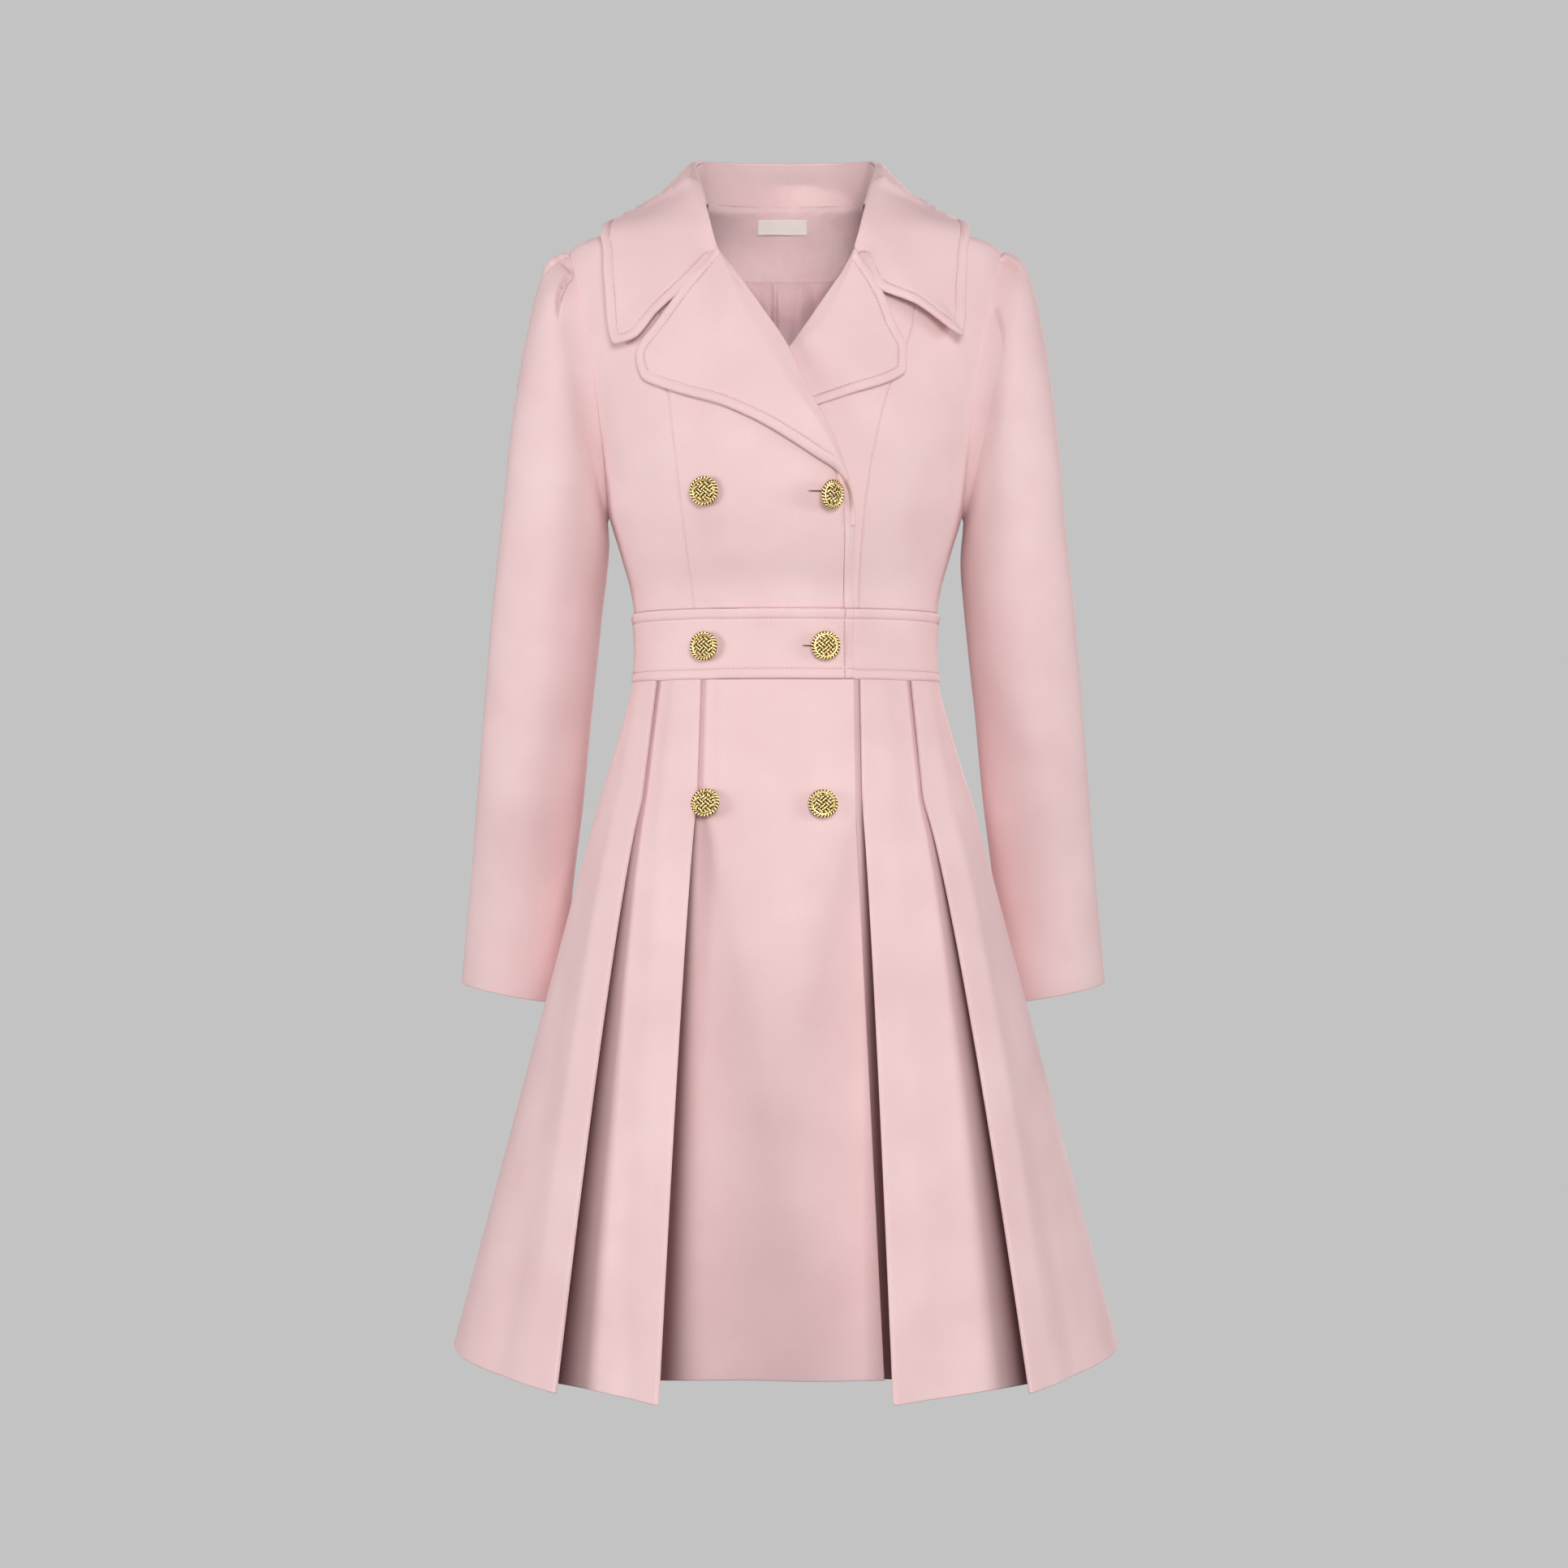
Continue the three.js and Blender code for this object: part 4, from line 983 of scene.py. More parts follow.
def rounded_line(corners, counts, bend=8):
    """Straight runs between corners, and at each corner a quadratic curve that starts and ends one
    rounding away from it."""
    line = [corners[0][0]]
    for i in range(1, len(corners) - 1):
        at, reach = corners[i][0], np.asarray(corners[i][1])
        ends = []
        for other in (corners[i - 1][0], corners[i + 1][0]):
            away = other - at
            length = np.linalg.norm(away, axis=-1)
            ends.append(at + unit(away) * np.minimum(reach, 0.48 * length)[..., None])
        start = line[-1]
        line += [mix(start, ends[0], k / counts[i - 1]) for k in range(1, counts[i - 1])]
        shares = [k / bend for k in range(bend + 1)]
        line += [mix(mix(ends[0], at, t), mix(at, ends[1], t), t) for t in shares]
    start = line[-1]
    line += [mix(start, corners[-1][0], k / counts[-1]) for k in range(1, counts[-1] + 1)]
    return np.stack(line, axis=1)


def corner(spot, z, sign, behind, reach=14, lift=0, ease=1):
    """A corner of the folded line, with how far it is rounded."""
    return skirt_point(spot, z, sign, behind, lift, ease), reach + 0 * z


def fold_nose(spot, z, sign, behind):
    """The outer layer's corner at a fold's nose."""
    return skirt_point(spot, z, sign, behind, FOLD_LIFT, FOLD_EASE)


def fold_corners(spot, z, sign, behind):
    """The two corners of a fold's nose: the under layer's and the outer layer's."""
    gap = mix(FOLD_GAP_TOP, FOLD_GAP_HEM, swung(z))
    outer = fold_nose(spot, z, sign, behind)
    under = outer + point(sign * gap * NOSE_LEAN, (-1 if behind else 1) * gap, 0 * z)
    return (under, gap / 2), (outer, gap / 2)


# %% Sewing a skirt panel
SKIRT_TOP = -415.1
SKIRT_ROWS = 58
HEM_STEPS = np.array([0, 0.5, 1.1, 2, 3.4, 6, 10, 16])
# Painted shade inside the pleats: how deep under a fold's nose, and how far beside it, the darkening reaches.
PAINTED_SHADE_DEPTH = 10
PAINTED_SHADE_REACH = (2.5, 19)


def painted_pleat_shade(pleats, fold, sign, behind):
    """Painted shade inside a pleat: the share of 10 mm that a point lies behind the fold's nose, times
    e^-(b/reach)^2, where b is how far it is beside the nose. The reach grows from the hip to the hem."""

    def shade(points):
        z = points[..., 2]
        nose = fold_nose(pleats[fold], z, sign, behind)
        under = (points[..., 1] - nose[..., 1]) * (-1 if behind else 1)
        beside = np.maximum((nose[..., 0] - points[..., 0]) * sign, 0)
        return np.clip(under / PAINTED_SHADE_DEPTH, 0, 1) * bell(beside, mix(*PAINTED_SHADE_REACH, swung(z)))

    return shade


def spread_edges(length, shares, edges):
    """Adds the close steps of a stitched edge to the shares of a folded line."""
    near, far = (SECTIONS[kind][1][1:] / length[:, None] for kind in edges)
    return np.sort(np.concatenate([shares, near, 1 - far], axis=1), axis=1)


def skirt_panel(node, corners_at, counts, side, edges=("hidden", "hidden"), flutes=None,
                band="waistband_back", shades=()):
    """Corners at every height, as one surface. The cloth is spaced by the corners, so the share across
    picks a column of the folded line."""
    z = mix(HEM, SKIRT_TOP, spread(SKIRT_TOP - HEM, HEM_STEPS, PLAIN_STEPS, SKIRT_ROWS))
    lines = rounded_line(corners_at(z), counts)
    run = arc(lines, 1)
    shares = run / run[:, -1:]
    across = shares if edges == ("hidden", "hidden") else spread_edges(run[:, -1], shares, edges)
    points = np.stack([read_along(across[row], shares[row], lines[row]) for row in range(len(z))])
    distance = edge_distances(points)
    soft = flutes(points, distance["left"]) if flutes else 0 * distance["left"]
    ends = (*edges, "turned", "seam")
    made = make_up(node, points, grid_normals(points, side), distance, ends, soft, SKIRT_CLOTH, [band])
    # Painted shade: how far inside the pleats each point lies, written as an attribute that darkens the
    # coating.
    painted_shade = sum(shade(points) for shade in shades) + 0 * soft
    painted_shade = np.tile(painted_shade.ravel(), 2).astype(np.float32)
    made.data.attributes.new("painted_pleat_shade", "FLOAT", "POINT").data.foreach_set("value", painted_shade)


# %% [markdown]
# Below the hip the cloth between two pleats isn't flat: it rolls in long soft flutes that grow towards
# the hem. Each flute is a wave across the panel, and its height rises faster the further down it is.

# %% Flutes


def flutes(rows):
    """Sum of depth g^1.4 e^-(d/width)^2, where d is the distance across the cloth from the flute's
    line, and g grows from 0 at the hip to 1 at the hem. The line leans from its top to its foot."""

    def height(points, run_across):
        grow = swung(points[..., 2])
        return sum(
            depth * grow**1.4 * bell(run_across - mix(top, foot, grow), width)
            for top, foot, width, depth in rows
        )

    return height


# %% Pleated panels


def mid_panel(node, pleats, sign, behind, rolls):
    """From the inner pleat's seam forward round its fold, then out to the outer pleat's seam."""

    def corners_at(z):
        at = lambda name, *how: corner(pleats[name], z, sign, behind, *how, FOLD_EASE)
        return [
            at("seam_in", 14, UNDER),
            *fold_corners(pleats["fold_in"], z, sign, behind),
            at("shelf_in", 6, FOLD_LIFT),
            at("valley", mix(5, 18, soft_step(HIP, HEM, z)), -UNDER),
            at("seam_out", 14, -UNDER),
        ]

    side = sign if behind else -sign
    # Painted shade beside the outer fold's nose.
    shades = [painted_pleat_shade(pleats, "fold_out", sign, behind)]
    skirt_panel(node, corners_at, (8, 2, 10, 22, 14), side, flutes=flutes(rolls), shades=shades)


def side_panel(node, pleats, sign, behind, rolls):
    """From the outer pleat's seam round its fold and on to the side seam."""
    way = -1 if behind else 1
    lateral = spot(123, 148, 242, 114.56 if behind else -118)
    turn = np.pi - NEAR_SEAM["turn"] if behind else NEAR_SEAM["turn"]
    near_seam = {"turn": turn, "hem": NEAR_SEAM["x"], "y": SIDE_HEM["y"] - NEAR_SEAM["ahead"] * way}
    seam = {"turn": SIDE, "hem": SIDE_HEM["x"], "y": SIDE_HEM["y"]}

    def corners_at(z):
        at = lambda place, *how: corner(place, z, sign, behind, *how)
        return [
            at(pleats["seam_out"], 14, UNDER, FOLD_EASE),
            *fold_corners(pleats["fold_out"], z, sign, behind),
            at(pleats["shelf_out"], 6, FOLD_LIFT, FOLD_EASE),
            at(lateral, 40, 3),
            at(near_seam, 30, 1),
            at(seam),
        ]

    side = sign if behind else -sign
    edges = ("hidden", "seam")
    skirt_panel(node, corners_at, (6, 2, 8, 18, 12, 10), side, edges, flutes=flutes(rolls))


MID_ROLLS = {
    "right": [(110, 120, 14, 1.5)],
    "left": [(112, 126, 15, 1.5)],
    "back_right": [(104, 118, 15, 1.6)],
    "back_left": [(100, 122, 14, 1.4)],
}
SIDE_ROLLS = {
    "right": [(80, 130, 20, 3.0), (110, 190, 24, -2.2)],
    "left": [(78, 122, 19, 2.8), (112, 184, 24, -2.0)],
    "back_right": [(80, 136, 16, 3.4), (116, 196, 17, -3)],
    "back_left": [(82, 128, 17, 3.1), (110, 188, 18, -2.6)],
}
for panel, name, rolls in ((mid_panel, "mid_", MID_ROLLS), (side_panel, "side_", SIDE_ROLLS)):
    for side, rows in rolls.items():
        *back, hand = side.split("_")
        node = "_".join(["skirt", *back, name + hand])
        panel(node, PLEATS[side], -1 if hand == "right" else 1, bool(back), rows)

# %% Centre panels of the skirt
LAP = 3


def centre_panel(node, behind, corners, counts, **how):
    """A panel of corners, each a spot, its side, how far it is rounded, its lift and its ease."""

    def corners_at(z):
        return [corner(place, z, sign, behind, *rest) for place, sign, *rest in corners]

    skirt_panel(node, corners_at, counts, -1, **how)


def pleat_seam(side, sign):
    """The seam at which a centre panel runs in under an inner pleat."""
    return PLEATS[side]["seam_in"], sign, 14, -UNDER, FOLD_EASE


front_right_corners = [
    pleat_seam("right", -1),
    (spot(64, 66, 98, -152), -1, 4, -UNDER),
    (spot(52, 53, 80, -152.5), -1, 4, LAP),
    (spot(0.1, 0.1, 0, -155), -1, 20, LAP),
    (spot(54.5, 55, 78, -152.5), 1, 14, LAP),
]
front_left_corners = [
    (spot(33, 33, 50, -148.5), -1, 14, -UNDER),
    (spot(0.1, 0.1, 0, -150), 1, 20, -UNDER),
    (spot(56, 58, 84, -147), 1, 14, -UNDER),
    pleat_seam("left", 1),
]
back_corners = [
    pleat_seam("back_left", 1),
    (spot(30, 34, 60, 142), 1),
    (spot(30, 34, 60, 142), -1),
    pleat_seam("back_right", -1),
]
# The shades given to the centre panels are painted shade beside the inner folds' noses.
centre_panel(
    "skirt_front_right",
    False,
    front_right_corners,
    (8, 6, 18, 18),
    edges=("hidden", "stitched"),
    flutes=flutes([(60, 95, 30, 4), (110, 150, 26, -2.5)]),
    band="waistband_right",
    shades=[painted_pleat_shade(PLEATS["right"], "fold_in", -1, False)],
)
centre_panel(
    "skirt_front_left",
    False,
    front_left_corners,
    (14, 14, 12),
    band="waistband_left",
    shades=[painted_pleat_shade(PLEATS["left"], "fold_in", 1, False)],
)
centre_panel(
    "skirt_back_centre",
    True,
    back_corners,
    (14, 18, 14),
    flutes=flutes([(70, 110, 26, 4), (100, 160, 24, -2.5)]),
    shades=[
        painted_pleat_shade(PLEATS["back_left"], "fold_in", 1, True),
        painted_pleat_shade(PLEATS["back_right"], "fold_in", -1, True),
    ],
)

# %% [markdown]
# A sleeve is a leaning tube. Its first ring lies on the armhole and each further ring is an oval
# between an inner and an outer point. The head is set in with small tucks that give the soft puff at
# the shoulder, and the long tube falls in a few shallow folds.

# %% Sleeves
SLEEVE = table(
    "along in_x in_z out_x out_z back deep",
    (0.02, 151.5, -277, 193, -52, 0, 52),
    (0.06, 151, -282, 203, -62, 0, 55),
    (0.12, 150.5, -289, 211, -82, 0, 57),
    (0.19, 150, -298, 218, -110, 1, 58),
    (0.27, 150.5, -308, 226, -150, 2, 58),
    (0.35, 152, -322, 234, -205, 3, 57),
    (0.43, 155, -345, 241, -275, 5, 55),
    (0.53, 160, -392, 249, -348, 9, 53),
    (0.64, 167, -452, 256, -425, 16, 50),
    (0.75, 174, -516, 263, -500, 28, 48),
    (0.86, 184, -580, 271, -570, 54, 46),
    (1.0, 198, -693, 285, -676, 93, 45),
)
TUCKS = {
    "right": [
        ([(-178.5, -73), (-183.5, -77), (-188.5, -88), (-191, -100), (-190.5, -118)], 3.6, 13),
        ([(-183, -52), (-190, -55), (-199, -62), (-206, -74)], 1.6, 9),
    ],
    "left": [
        ([(181.5, -56), (187, -58), (194, -64), (201, -74)], 2.4, 10),
        ([(174, -104), (178, -112), (181, -124), (182, -140)], 1.3, 12),
    ],
}
CREASE = 0.8  # millimetres that the folded cloth takes to drop at a tuck
CROWDING = 0.6  # how much closer together the grid's lines are at the tucks
CROWDED_AT = 0.85
TUCKS_BEHIND = 12


def armhole_ring(turn, sign):
    """The armhole's oval on the body's side, level with the bodice's sunken edge."""
    middle, tall = (SHOULDER_END + UNDERARM) / 2, (SHOULDER_END - UNDERARM) / 2 + 0.1
    z = middle + tall * np.cos(turn)
    y = -(ARMHOLE_HALF_DEPTH - 0.1) * np.sin(turn)
    at = np.clip(z, UNDERARM, SHOULDER_END)
    share = (abs(y) / np.where(y < 0, body("front", at), body("back", at))) ** SQUARENESS
    return point(sign * (body("half", at) * (1 - share) ** (1 / SQUARENESS) - SEAM_SINK), y, z)


def tuck(points, line, rise, width):
    """A fold laid over its neighbour along a line of points seen from the front. On its outer side the
    cloth stands at full rise and eases down over the width; at the line it drops within one crease,
    into a groove one and a half times as deep as the rise. Both ends of the line fade out."""
    line = np.array(line, float)
    start, along = line[:-1], np.diff(line, axis=0)
    flat = points[..., [0, 2]].reshape(-1, 1, 2) - start
    share = np.clip((flat * along).sum(-1) / (along**2).sum(-1), 0, 1)
    off = flat - share[..., None] * along
    distance = np.linalg.norm(off, axis=-1)
    nearest = distance.argmin(1)
    row = np.arange(len(nearest))
    cross = along[nearest, 0] * off[row, nearest, 1] - along[nearest, 1] * off[row, nearest, 0]
    way = np.sign(line[-1, 0])
    away = (np.sign(cross) * distance[row, nearest] * way).reshape(points.shape[:-1])
    run = (nearest + share[row, nearest]) / len(along)
    fade = (soft_step(0, 0.12, run) * (1 - soft_step(0.55, 1, run))).reshape(points.shape[:-1])
    over = soft_step(-CREASE, CREASE, away) * bell(np.maximum(away, 0), width)
    groove = -1.5 * bell(away + 1.5 * CREASE, 1.4 * CREASE)
    return rise * fade * (over + groove) * (points[..., 1] < TUCKS_BEHIND)


def sleeve(node, sign, shift, tucks):
    """Rings of the sleeve from the armhole down to the cuff, closer together where the tucks are."""

    def turn_of(across):
        even = 2 * np.pi * across
        return even - CROWDING * (np.sin(even - CROWDED_AT) + math.sin(CROWDED_AT))

    def surface(across, up):
        turn = turn_of(across)
        row = lambda column: curve(SLEEVE, "along", column, up)
        share = (1 - np.cos(turn)) / 2
        x = mix(row("out_x"), row("in_x"), share) + shift * soft_step(0.1, 0.5, up)
        z = mix(row("out_z"), row("in_z"), share)
        tube = point(sign * x, row("back") - np.sin(turn) * row("deep"), z)
        points = mix(armhole_ring(turn, sign), tube, soft_step(0, 0.035, up)[..., None])
        return points, grid_normals(points, sign, True)

    def folds(points, across, up):
        turn = (turn_of(across) + np.pi) % (2 * np.pi) - np.pi
        total = sum(tuck(points, *settings) for settings in tucks) * soft_step(0, 0.006, up)
        gather = np.sin(9 * turn) * bell(turn, 0.9)
        total = total + 0.9 * gather * soft_step(0, 0.02, up) * (1 - soft_step(0.03, 0.12, up))
        total = total + 1.6 * bell(turn - 0.9 + 0.8 * up, 0.35) * soft_step(0.2, 0.5, up)
        elbow = bell(up - 0.52, 0.05) * bell(turn + 2.2, 0.6)
        lower = bell(up - 0.6, 0.04) * bell(turn + 2.4, 0.6)
        return total - 2.2 * elbow - 1.6 * lower

    front = "front_side_" + node.split("_")[1]
    edges = ("even", "even", "sleeve_head", "turned")
    sew(node, surface, edges, (140, 54), folds=folds, wrap=True, rests_on=[front])


sleeve("sleeve_right", -1, 0, TUCKS["right"])
sleeve("sleeve_left", 1, -4, TUCKS["left"])

# %% [markdown]
# The lapels are the fronts turned back. Each is two layers with the padded border all round its free
# edge. It rises over the roll line in a soft bend, then settles towards the edge.

# %% Lapels
LAPEL_RIGHT = table(
    "along roll_x roll_z outer_x outer_z",
    (0.0, 53.8, -288, 50.5, -290),
    (0.05, 53, -276, 49.5, -270),
    (0.1, 50.5, -262, 43.5, -253),
    (0.17, 45, -242, 22, -237),
    (0.3, 33, -214, -16, -214),
    (0.43, 18, -186, -60, -194),
    (0.55, 4, -154, -100, -179),
    (0.61, -4, -140, -115, -170),
    (0.67, -14, -125, -120, -151),
    (0.77, -28, -104, -103, -123),
    (0.89, -42, -83, -82, -94),
    (0.96, -50.5, -71.5, -66, -76.5),
    (1.0, -54.5, -66.5, -57.5, -68),
)
LAPEL_LEFT = table(
    "along roll_x roll_z outer_x outer_z",
    (0.0, -9, -164, 12, -201),
    (0.2, 6, -143, 48, -188),
    (0.38, 18, -126, 84, -175),
    (0.48, 25, -115, 96, -165),
    (0.57, 31, -106, 97, -149),
    (0.72, 40, -92, 87, -124),
    (0.86, 48, -80, 77.5, -99),
    (0.95, 53, -71, 65, -79.5),
    (1.0, 55.5, -67.5, 57.5, -70),
)
TIP_RISE = 2.6  # the lapel's upper end lies over the collar
ROLL_START = 4.6
ROLL_RISE = 3.6
ROLL_FALL = 2.8


def lapel(node, rows, foot, settled, base):
    """A surface on the body from the roll line to the outer edge. Its height rises from the roll line,
    eases down to the edge, and is low and even at the foot until it has settled."""

    def surface(across, up):
        row = lambda column: curve(rows, "along", column, up)
        x = mix(row("roll_x"), row("outer_x"), across)
        z = mix(row("roll_z"), row("outer_z"), across)
        turn = turn_at_x(x, z)
        out = body_normal(turn, z)
        up_to_roll, past_roll = soft_step(0, 0.16, across), soft_step(0.16, 1, across)
        rise = ROLL_START + ROLL_RISE * up_to_roll - ROLL_FALL * past_roll
        lift = base(x, z) + mix(foot, rise, soft_step(*settled, up)) + TIP_RISE * soft_step(0.78, 1, up)
        return body_point(turn, z) + out * lift[..., None], out

    front = "front_centre_" + node.split("_")[1]
    edges = ("turned", "stitched", "hidden", "turned")
    sew(node, surface, edges, (50, 120), DOUBLE, held="folded", rests_on=[front], askew=True)


lapel("lapel_right", LAPEL_RIGHT, 3.7, (0, 0.2), overlap)
lapel("lapel_left", LAPEL_LEFT, 3.5, (0.12, 0.36), lambda x, z: 0 * x)

# %% [markdown]
# The collar is a stand, which follows the neck seam upwards, and a wide fall that turns over it and
# lies out on the shoulders. Each is one grid of two halves, from the right front round the back to
# the left front. The halves mirror each other, apart from the leaves' front edges.

# %% Collar lines
FOLD = table(
    "along x y z",
    (0.0, 56, -82, -60),
    (0.16, 61, -77, -42),
    (0.34, 71, -50, -8),
    (0.52, 79, -8, 22),
    (0.7, 76, 38, 37),
    (0.86, 48, 72, 43),
    (1.0, 0, 84, 45),
)
FALL_FRONT = table(
    "along right_x right_z left_x left_z",
    (0.0, 60, -74, 61, -74),
    (0.12, 82, -98, 74, -98),
    (0.22, 104, -120, 104, -113),
    (0.31, 121, -139, 130, -133),
    (0.36, 134, -141, 136, -135),
    (0.41, 139, -131, 139, -127),
    (0.48, 143, -98, 142, -97),
    (0.54, 146, -69, 145, -68),
)
FALL_BACK = np.array(
    [
        (0.6, 149, -6, -32),
        (0.7, 146, 52, -41),
        (0.8, 120, 86, -52),
        (0.9, 66, 103, -58),
        (1.0, 0, 107, -60),
    ]
)
FALL_LIFT = 9
LEAF_LIFT = {
    "right": np.array([-5, -4, 0, 1, 1, 0, 0, 0.0]),
    "left": np.array([-5, -3, 4, 9, 7, 4, 1, 0.0]),
}


def fall_rows(side):
    """The whole outer edge of one half: the front part laid on the body, then the back part."""
    x, z = FALL_FRONT[side + "_x"], FALL_FRONT[side + "_z"]
    turn = turn_at_x(x, z)
    lift = FALL_LIFT + LEAF_LIFT[side]
    front = body_point(turn, z) + body_normal(turn, z) * lift[:, None]
    rows = np.concatenate([np.column_stack([FALL_FRONT["along"], front]), FALL_BACK])
    return dict(zip(("along", "x", "y", "z"), rows.T))


FALL_ROWS = {"right": fall_rows("right"), "left": fall_rows("left")}


def on_both_halves(rows, share):
    """A point of a mirrored line: share 0 and 1 are the two fronts, 0.5 is the centre back."""
    at = 1 - abs(2 * share - 1)
    sign = np.where(share < 0.5, -1, 1)
    right, left = (
        point(*(curve(half, "along", axis, at) for axis in "xyz")) for half in (rows["right"], rows["left"])
    )
    chosen = np.where((sign < 0)[..., None], right, left)
    return chosen * point(sign, 1 + 0 * at, 1 + 0 * at), at, sign


def over_body(points, clear):
    """Moves points off the body so that they lie at least `clear` over it: the distance d becomes
    s ln(1 + e^(d/s)), which is d when it is large and never below 0."""
    z = np.clip(points[..., 2], HIP, NECK)
    x, y = points[..., 0], points[..., 1]
    turn = np.where(y > 0, turn_at_x(x, z, True), turn_at_x(x, z))
    turn = np.where(abs(x) < body("half", z), turn, np.sign(x) * SIDE)
    out = body_normal(turn, z)
    over = ((points - body_point(turn, z)) * out).sum(-1) - clear
    ease = 2.5
    more = np.where(over > 8 * ease, 0, ease * np.log1p(np.exp(np.minimum(over, 8 * ease) / ease)) - over)
    return points + out * more[..., None]


# %% Collar fall
CROWN = 3.6
SHOULDER_BOW = 5
FRONT_SINK = 5
TUCK_DOWN = 1.6
TUCK_IN = 2.2


def inward_of(points):
    """Level directions from points of the collar towards the neck's middle."""
    return unit(point(-points[..., 0], -points[..., 1] + 10, 0 * points[..., 2]))


def fall_surface(across, up):
    """From the fold to the outer edge, crowned over the fold and bowed over the shoulder."""
    fold, at, _ = on_both_halves({"right": FOLD, "left": FOLD}, up)
    edge, _, _ = on_both_halves(FALL_ROWS, up)
    crest = soft_step(0.1, 0.4, at)
    points = mix(fold, edge, across[..., None])
    crown = CROWN * crest * (1 - soft_step(0.05, 0.6, across))
    bow = SHOULDER_BOW * crest * np.sin(np.pi * across) * soft_step(0.3, 0.8, at)
    tuck = crest * (1 - soft_step(0, 0.05, across))
    points[..., 2] += crown - bow - TUCK_DOWN * tuck
    points += inward_of(fold) * (TUCK_IN * tuck)[..., None]
    points = over_body(points, FALL_LIFT - 0.5 - FRONT_SINK * (1 - soft_step(0.08, 0.24, at)))
    return points, grid_normals(points, -1)


sew(
    "collar_fall",
    fall_surface,
    ("turned", "stitched", "turned", "turned"),
    (40, 200),
    DOUBLE,
    held="folded",
    rests_on=["collar_stand"],
    askew=True,
)

# %% Collar stand
STAND_CLOTH = 2.2
SIDE_SHARE = 0.52  # where the stand's low edge leaves the fronts for the back neck
FRONT_DROP = 62


def stand_surface(across, up):
    """From the neck seam, round the back neck and down both fronts, up to the fold."""
    top, at, sign = on_both_halves({"right": FOLD, "left": FOLD}, mix(0.14, 0.86, up))
    z = -FRONT_DROP * np.clip(1 - at / SIDE_SHARE, 0, 1) ** 1.4
    front_turn = turn_at_x(curve(EDGE_LEFT, "z", "x", z), z)
    back_turn = mix(SIDE, np.pi, np.clip((at - SIDE_SHARE) / (1 - SIDE_SHARE), 0, 1))
    turn = sign * np.where(at > SIDE_SHARE, back_turn, front_turn)
    low = body_point(turn, np.where(at > SIDE_SHARE, NECK, z))
    inward = inward_of(top)
    behind = soft_step(0.4, 0.62, at)
    low = low + inward * mix(1, 2.3, behind)[..., None]
    low = low + point(-3 * sign * (1 - soft_step(0.42, 0.56, at)), 0 * at, mix(1.4, 0.2, behind))
    top = top + inward * mix(-1.6, 2.4, soft_step(0.14, 0.42, at))[..., None] - np.array([0, 0, 1.5])
    points = mix(low, top, across[..., None])
    return points, grid_normals(points, 1)


sew(
    "collar_stand",
    stand_surface,
    ("seam", "hidden", "turned", "turned"),
    (12, 120),
    STAND_CLOTH,
    held="folded",
    rests_on=["back_neck_facing"],
)

# %% [markdown]
# Through the open neck the inside of the back shows: a facing of the same coating, the lining below it
# with a pleat down the centre back and small gathers beside it, and a blank tape label.

# %% Inside the back
GATHERS = fold_field(
    (-9.5, -52, -9.5, -215, 2.2, -4.5),
    (-13, -54, -15, -215, 3.0, 1.6),
    (14, -57, 8, -128, 5.5, 2.6),
    (24, -56, 33, -120, 5.0, -3.2),
    (40, -57, 47, -130, 6.0, 3.0),
    (-26, -57, -20, -118, 4.5, 2.2),
    (-38, -58, -46, -125, 6.0, -2.4),
    (58, -58, 66, -140, 7.0, -2.4),
    (-60, -60, -66, -142, 7.0, 2.0),
)
FACING_CLOTH = 1.2
THIN_CLOTH = 1.0
FACING_DEPTH = CLOTH + 4.3
LINING_DROP = 3.4
LABEL_DEPTH = CLOTH + 6.3
LABEL_HALF = 22
LABEL_SHIFT = -3


def inside_band(low, high, half, lift):
    """The body's back between two heights and two sides, moved in."""
    line = lambda sign: lambda up: (
        np.where(sign > 0, 0, 2 * np.pi) + turn_at_x(sign * half, mix(low, high, up), True),
        mix(low, high, up),
    )
    return between(line(1), line(-1), lift)


FACING_FOLDS = fold_field(
    (44, -8, 56, -44, 9, 2.0),
    (-48, -10, -40, -40, 10, 1.4),
    (16, -30, 30, -50, 12, -1.2),
    (-80, -1.2, 80, -1.2, 1.3, -1.5),
)
sew(
    "back_neck_facing",
    inside_band(-56, 6.4, 70, lambda x, z: -FACING_DEPTH + 0 * x),
    ("hidden", "hidden", "seam", "hidden"),
    (60, 20),
    FACING_CLOTH,
    folds=FACING_FOLDS,
    rests_on=["back_centre"],
)
sew(
    "back_lining",
    inside_band(-205, -56.2, 84, lambda x, z: -FACING_DEPTH - LINING_DROP * soft_step(-57, -75, z)),
    ("hidden", "hidden", "hidden", "seam"),
    (150, 50),
    THIN_CLOTH,
    folds=GATHERS,
    cloth=LINING,
    slot="lining",
    rests_on=["back_neck_facing"],
)


def label_surface(across, up):
    """A strip of tape on the facing, a little off the middle."""
    z = mix(-15.5, -4, up)
    x = mix(LABEL_HALF, -LABEL_HALF, across) + LABEL_SHIFT
    turn = np.where(x < 0, 2 * np.pi, 0) + turn_at_x(x, z, True)
    out = body_normal(turn, z)
    return body_point(turn, z) - out * LABEL_DEPTH, out


sew(
    "label",
    label_surface,
    ("hidden",) * 4,
    (36, 8),
    THIN_CLOTH,
    cloth=LABEL_TAPE,
    slot="label",
    rests_on=["back_neck_facing"],
)

# %% [markdown]
# The topstitching goes on now that every border exists. Each line is read off a sewn piece at the
# distance of the pulled-down valley from its edge.

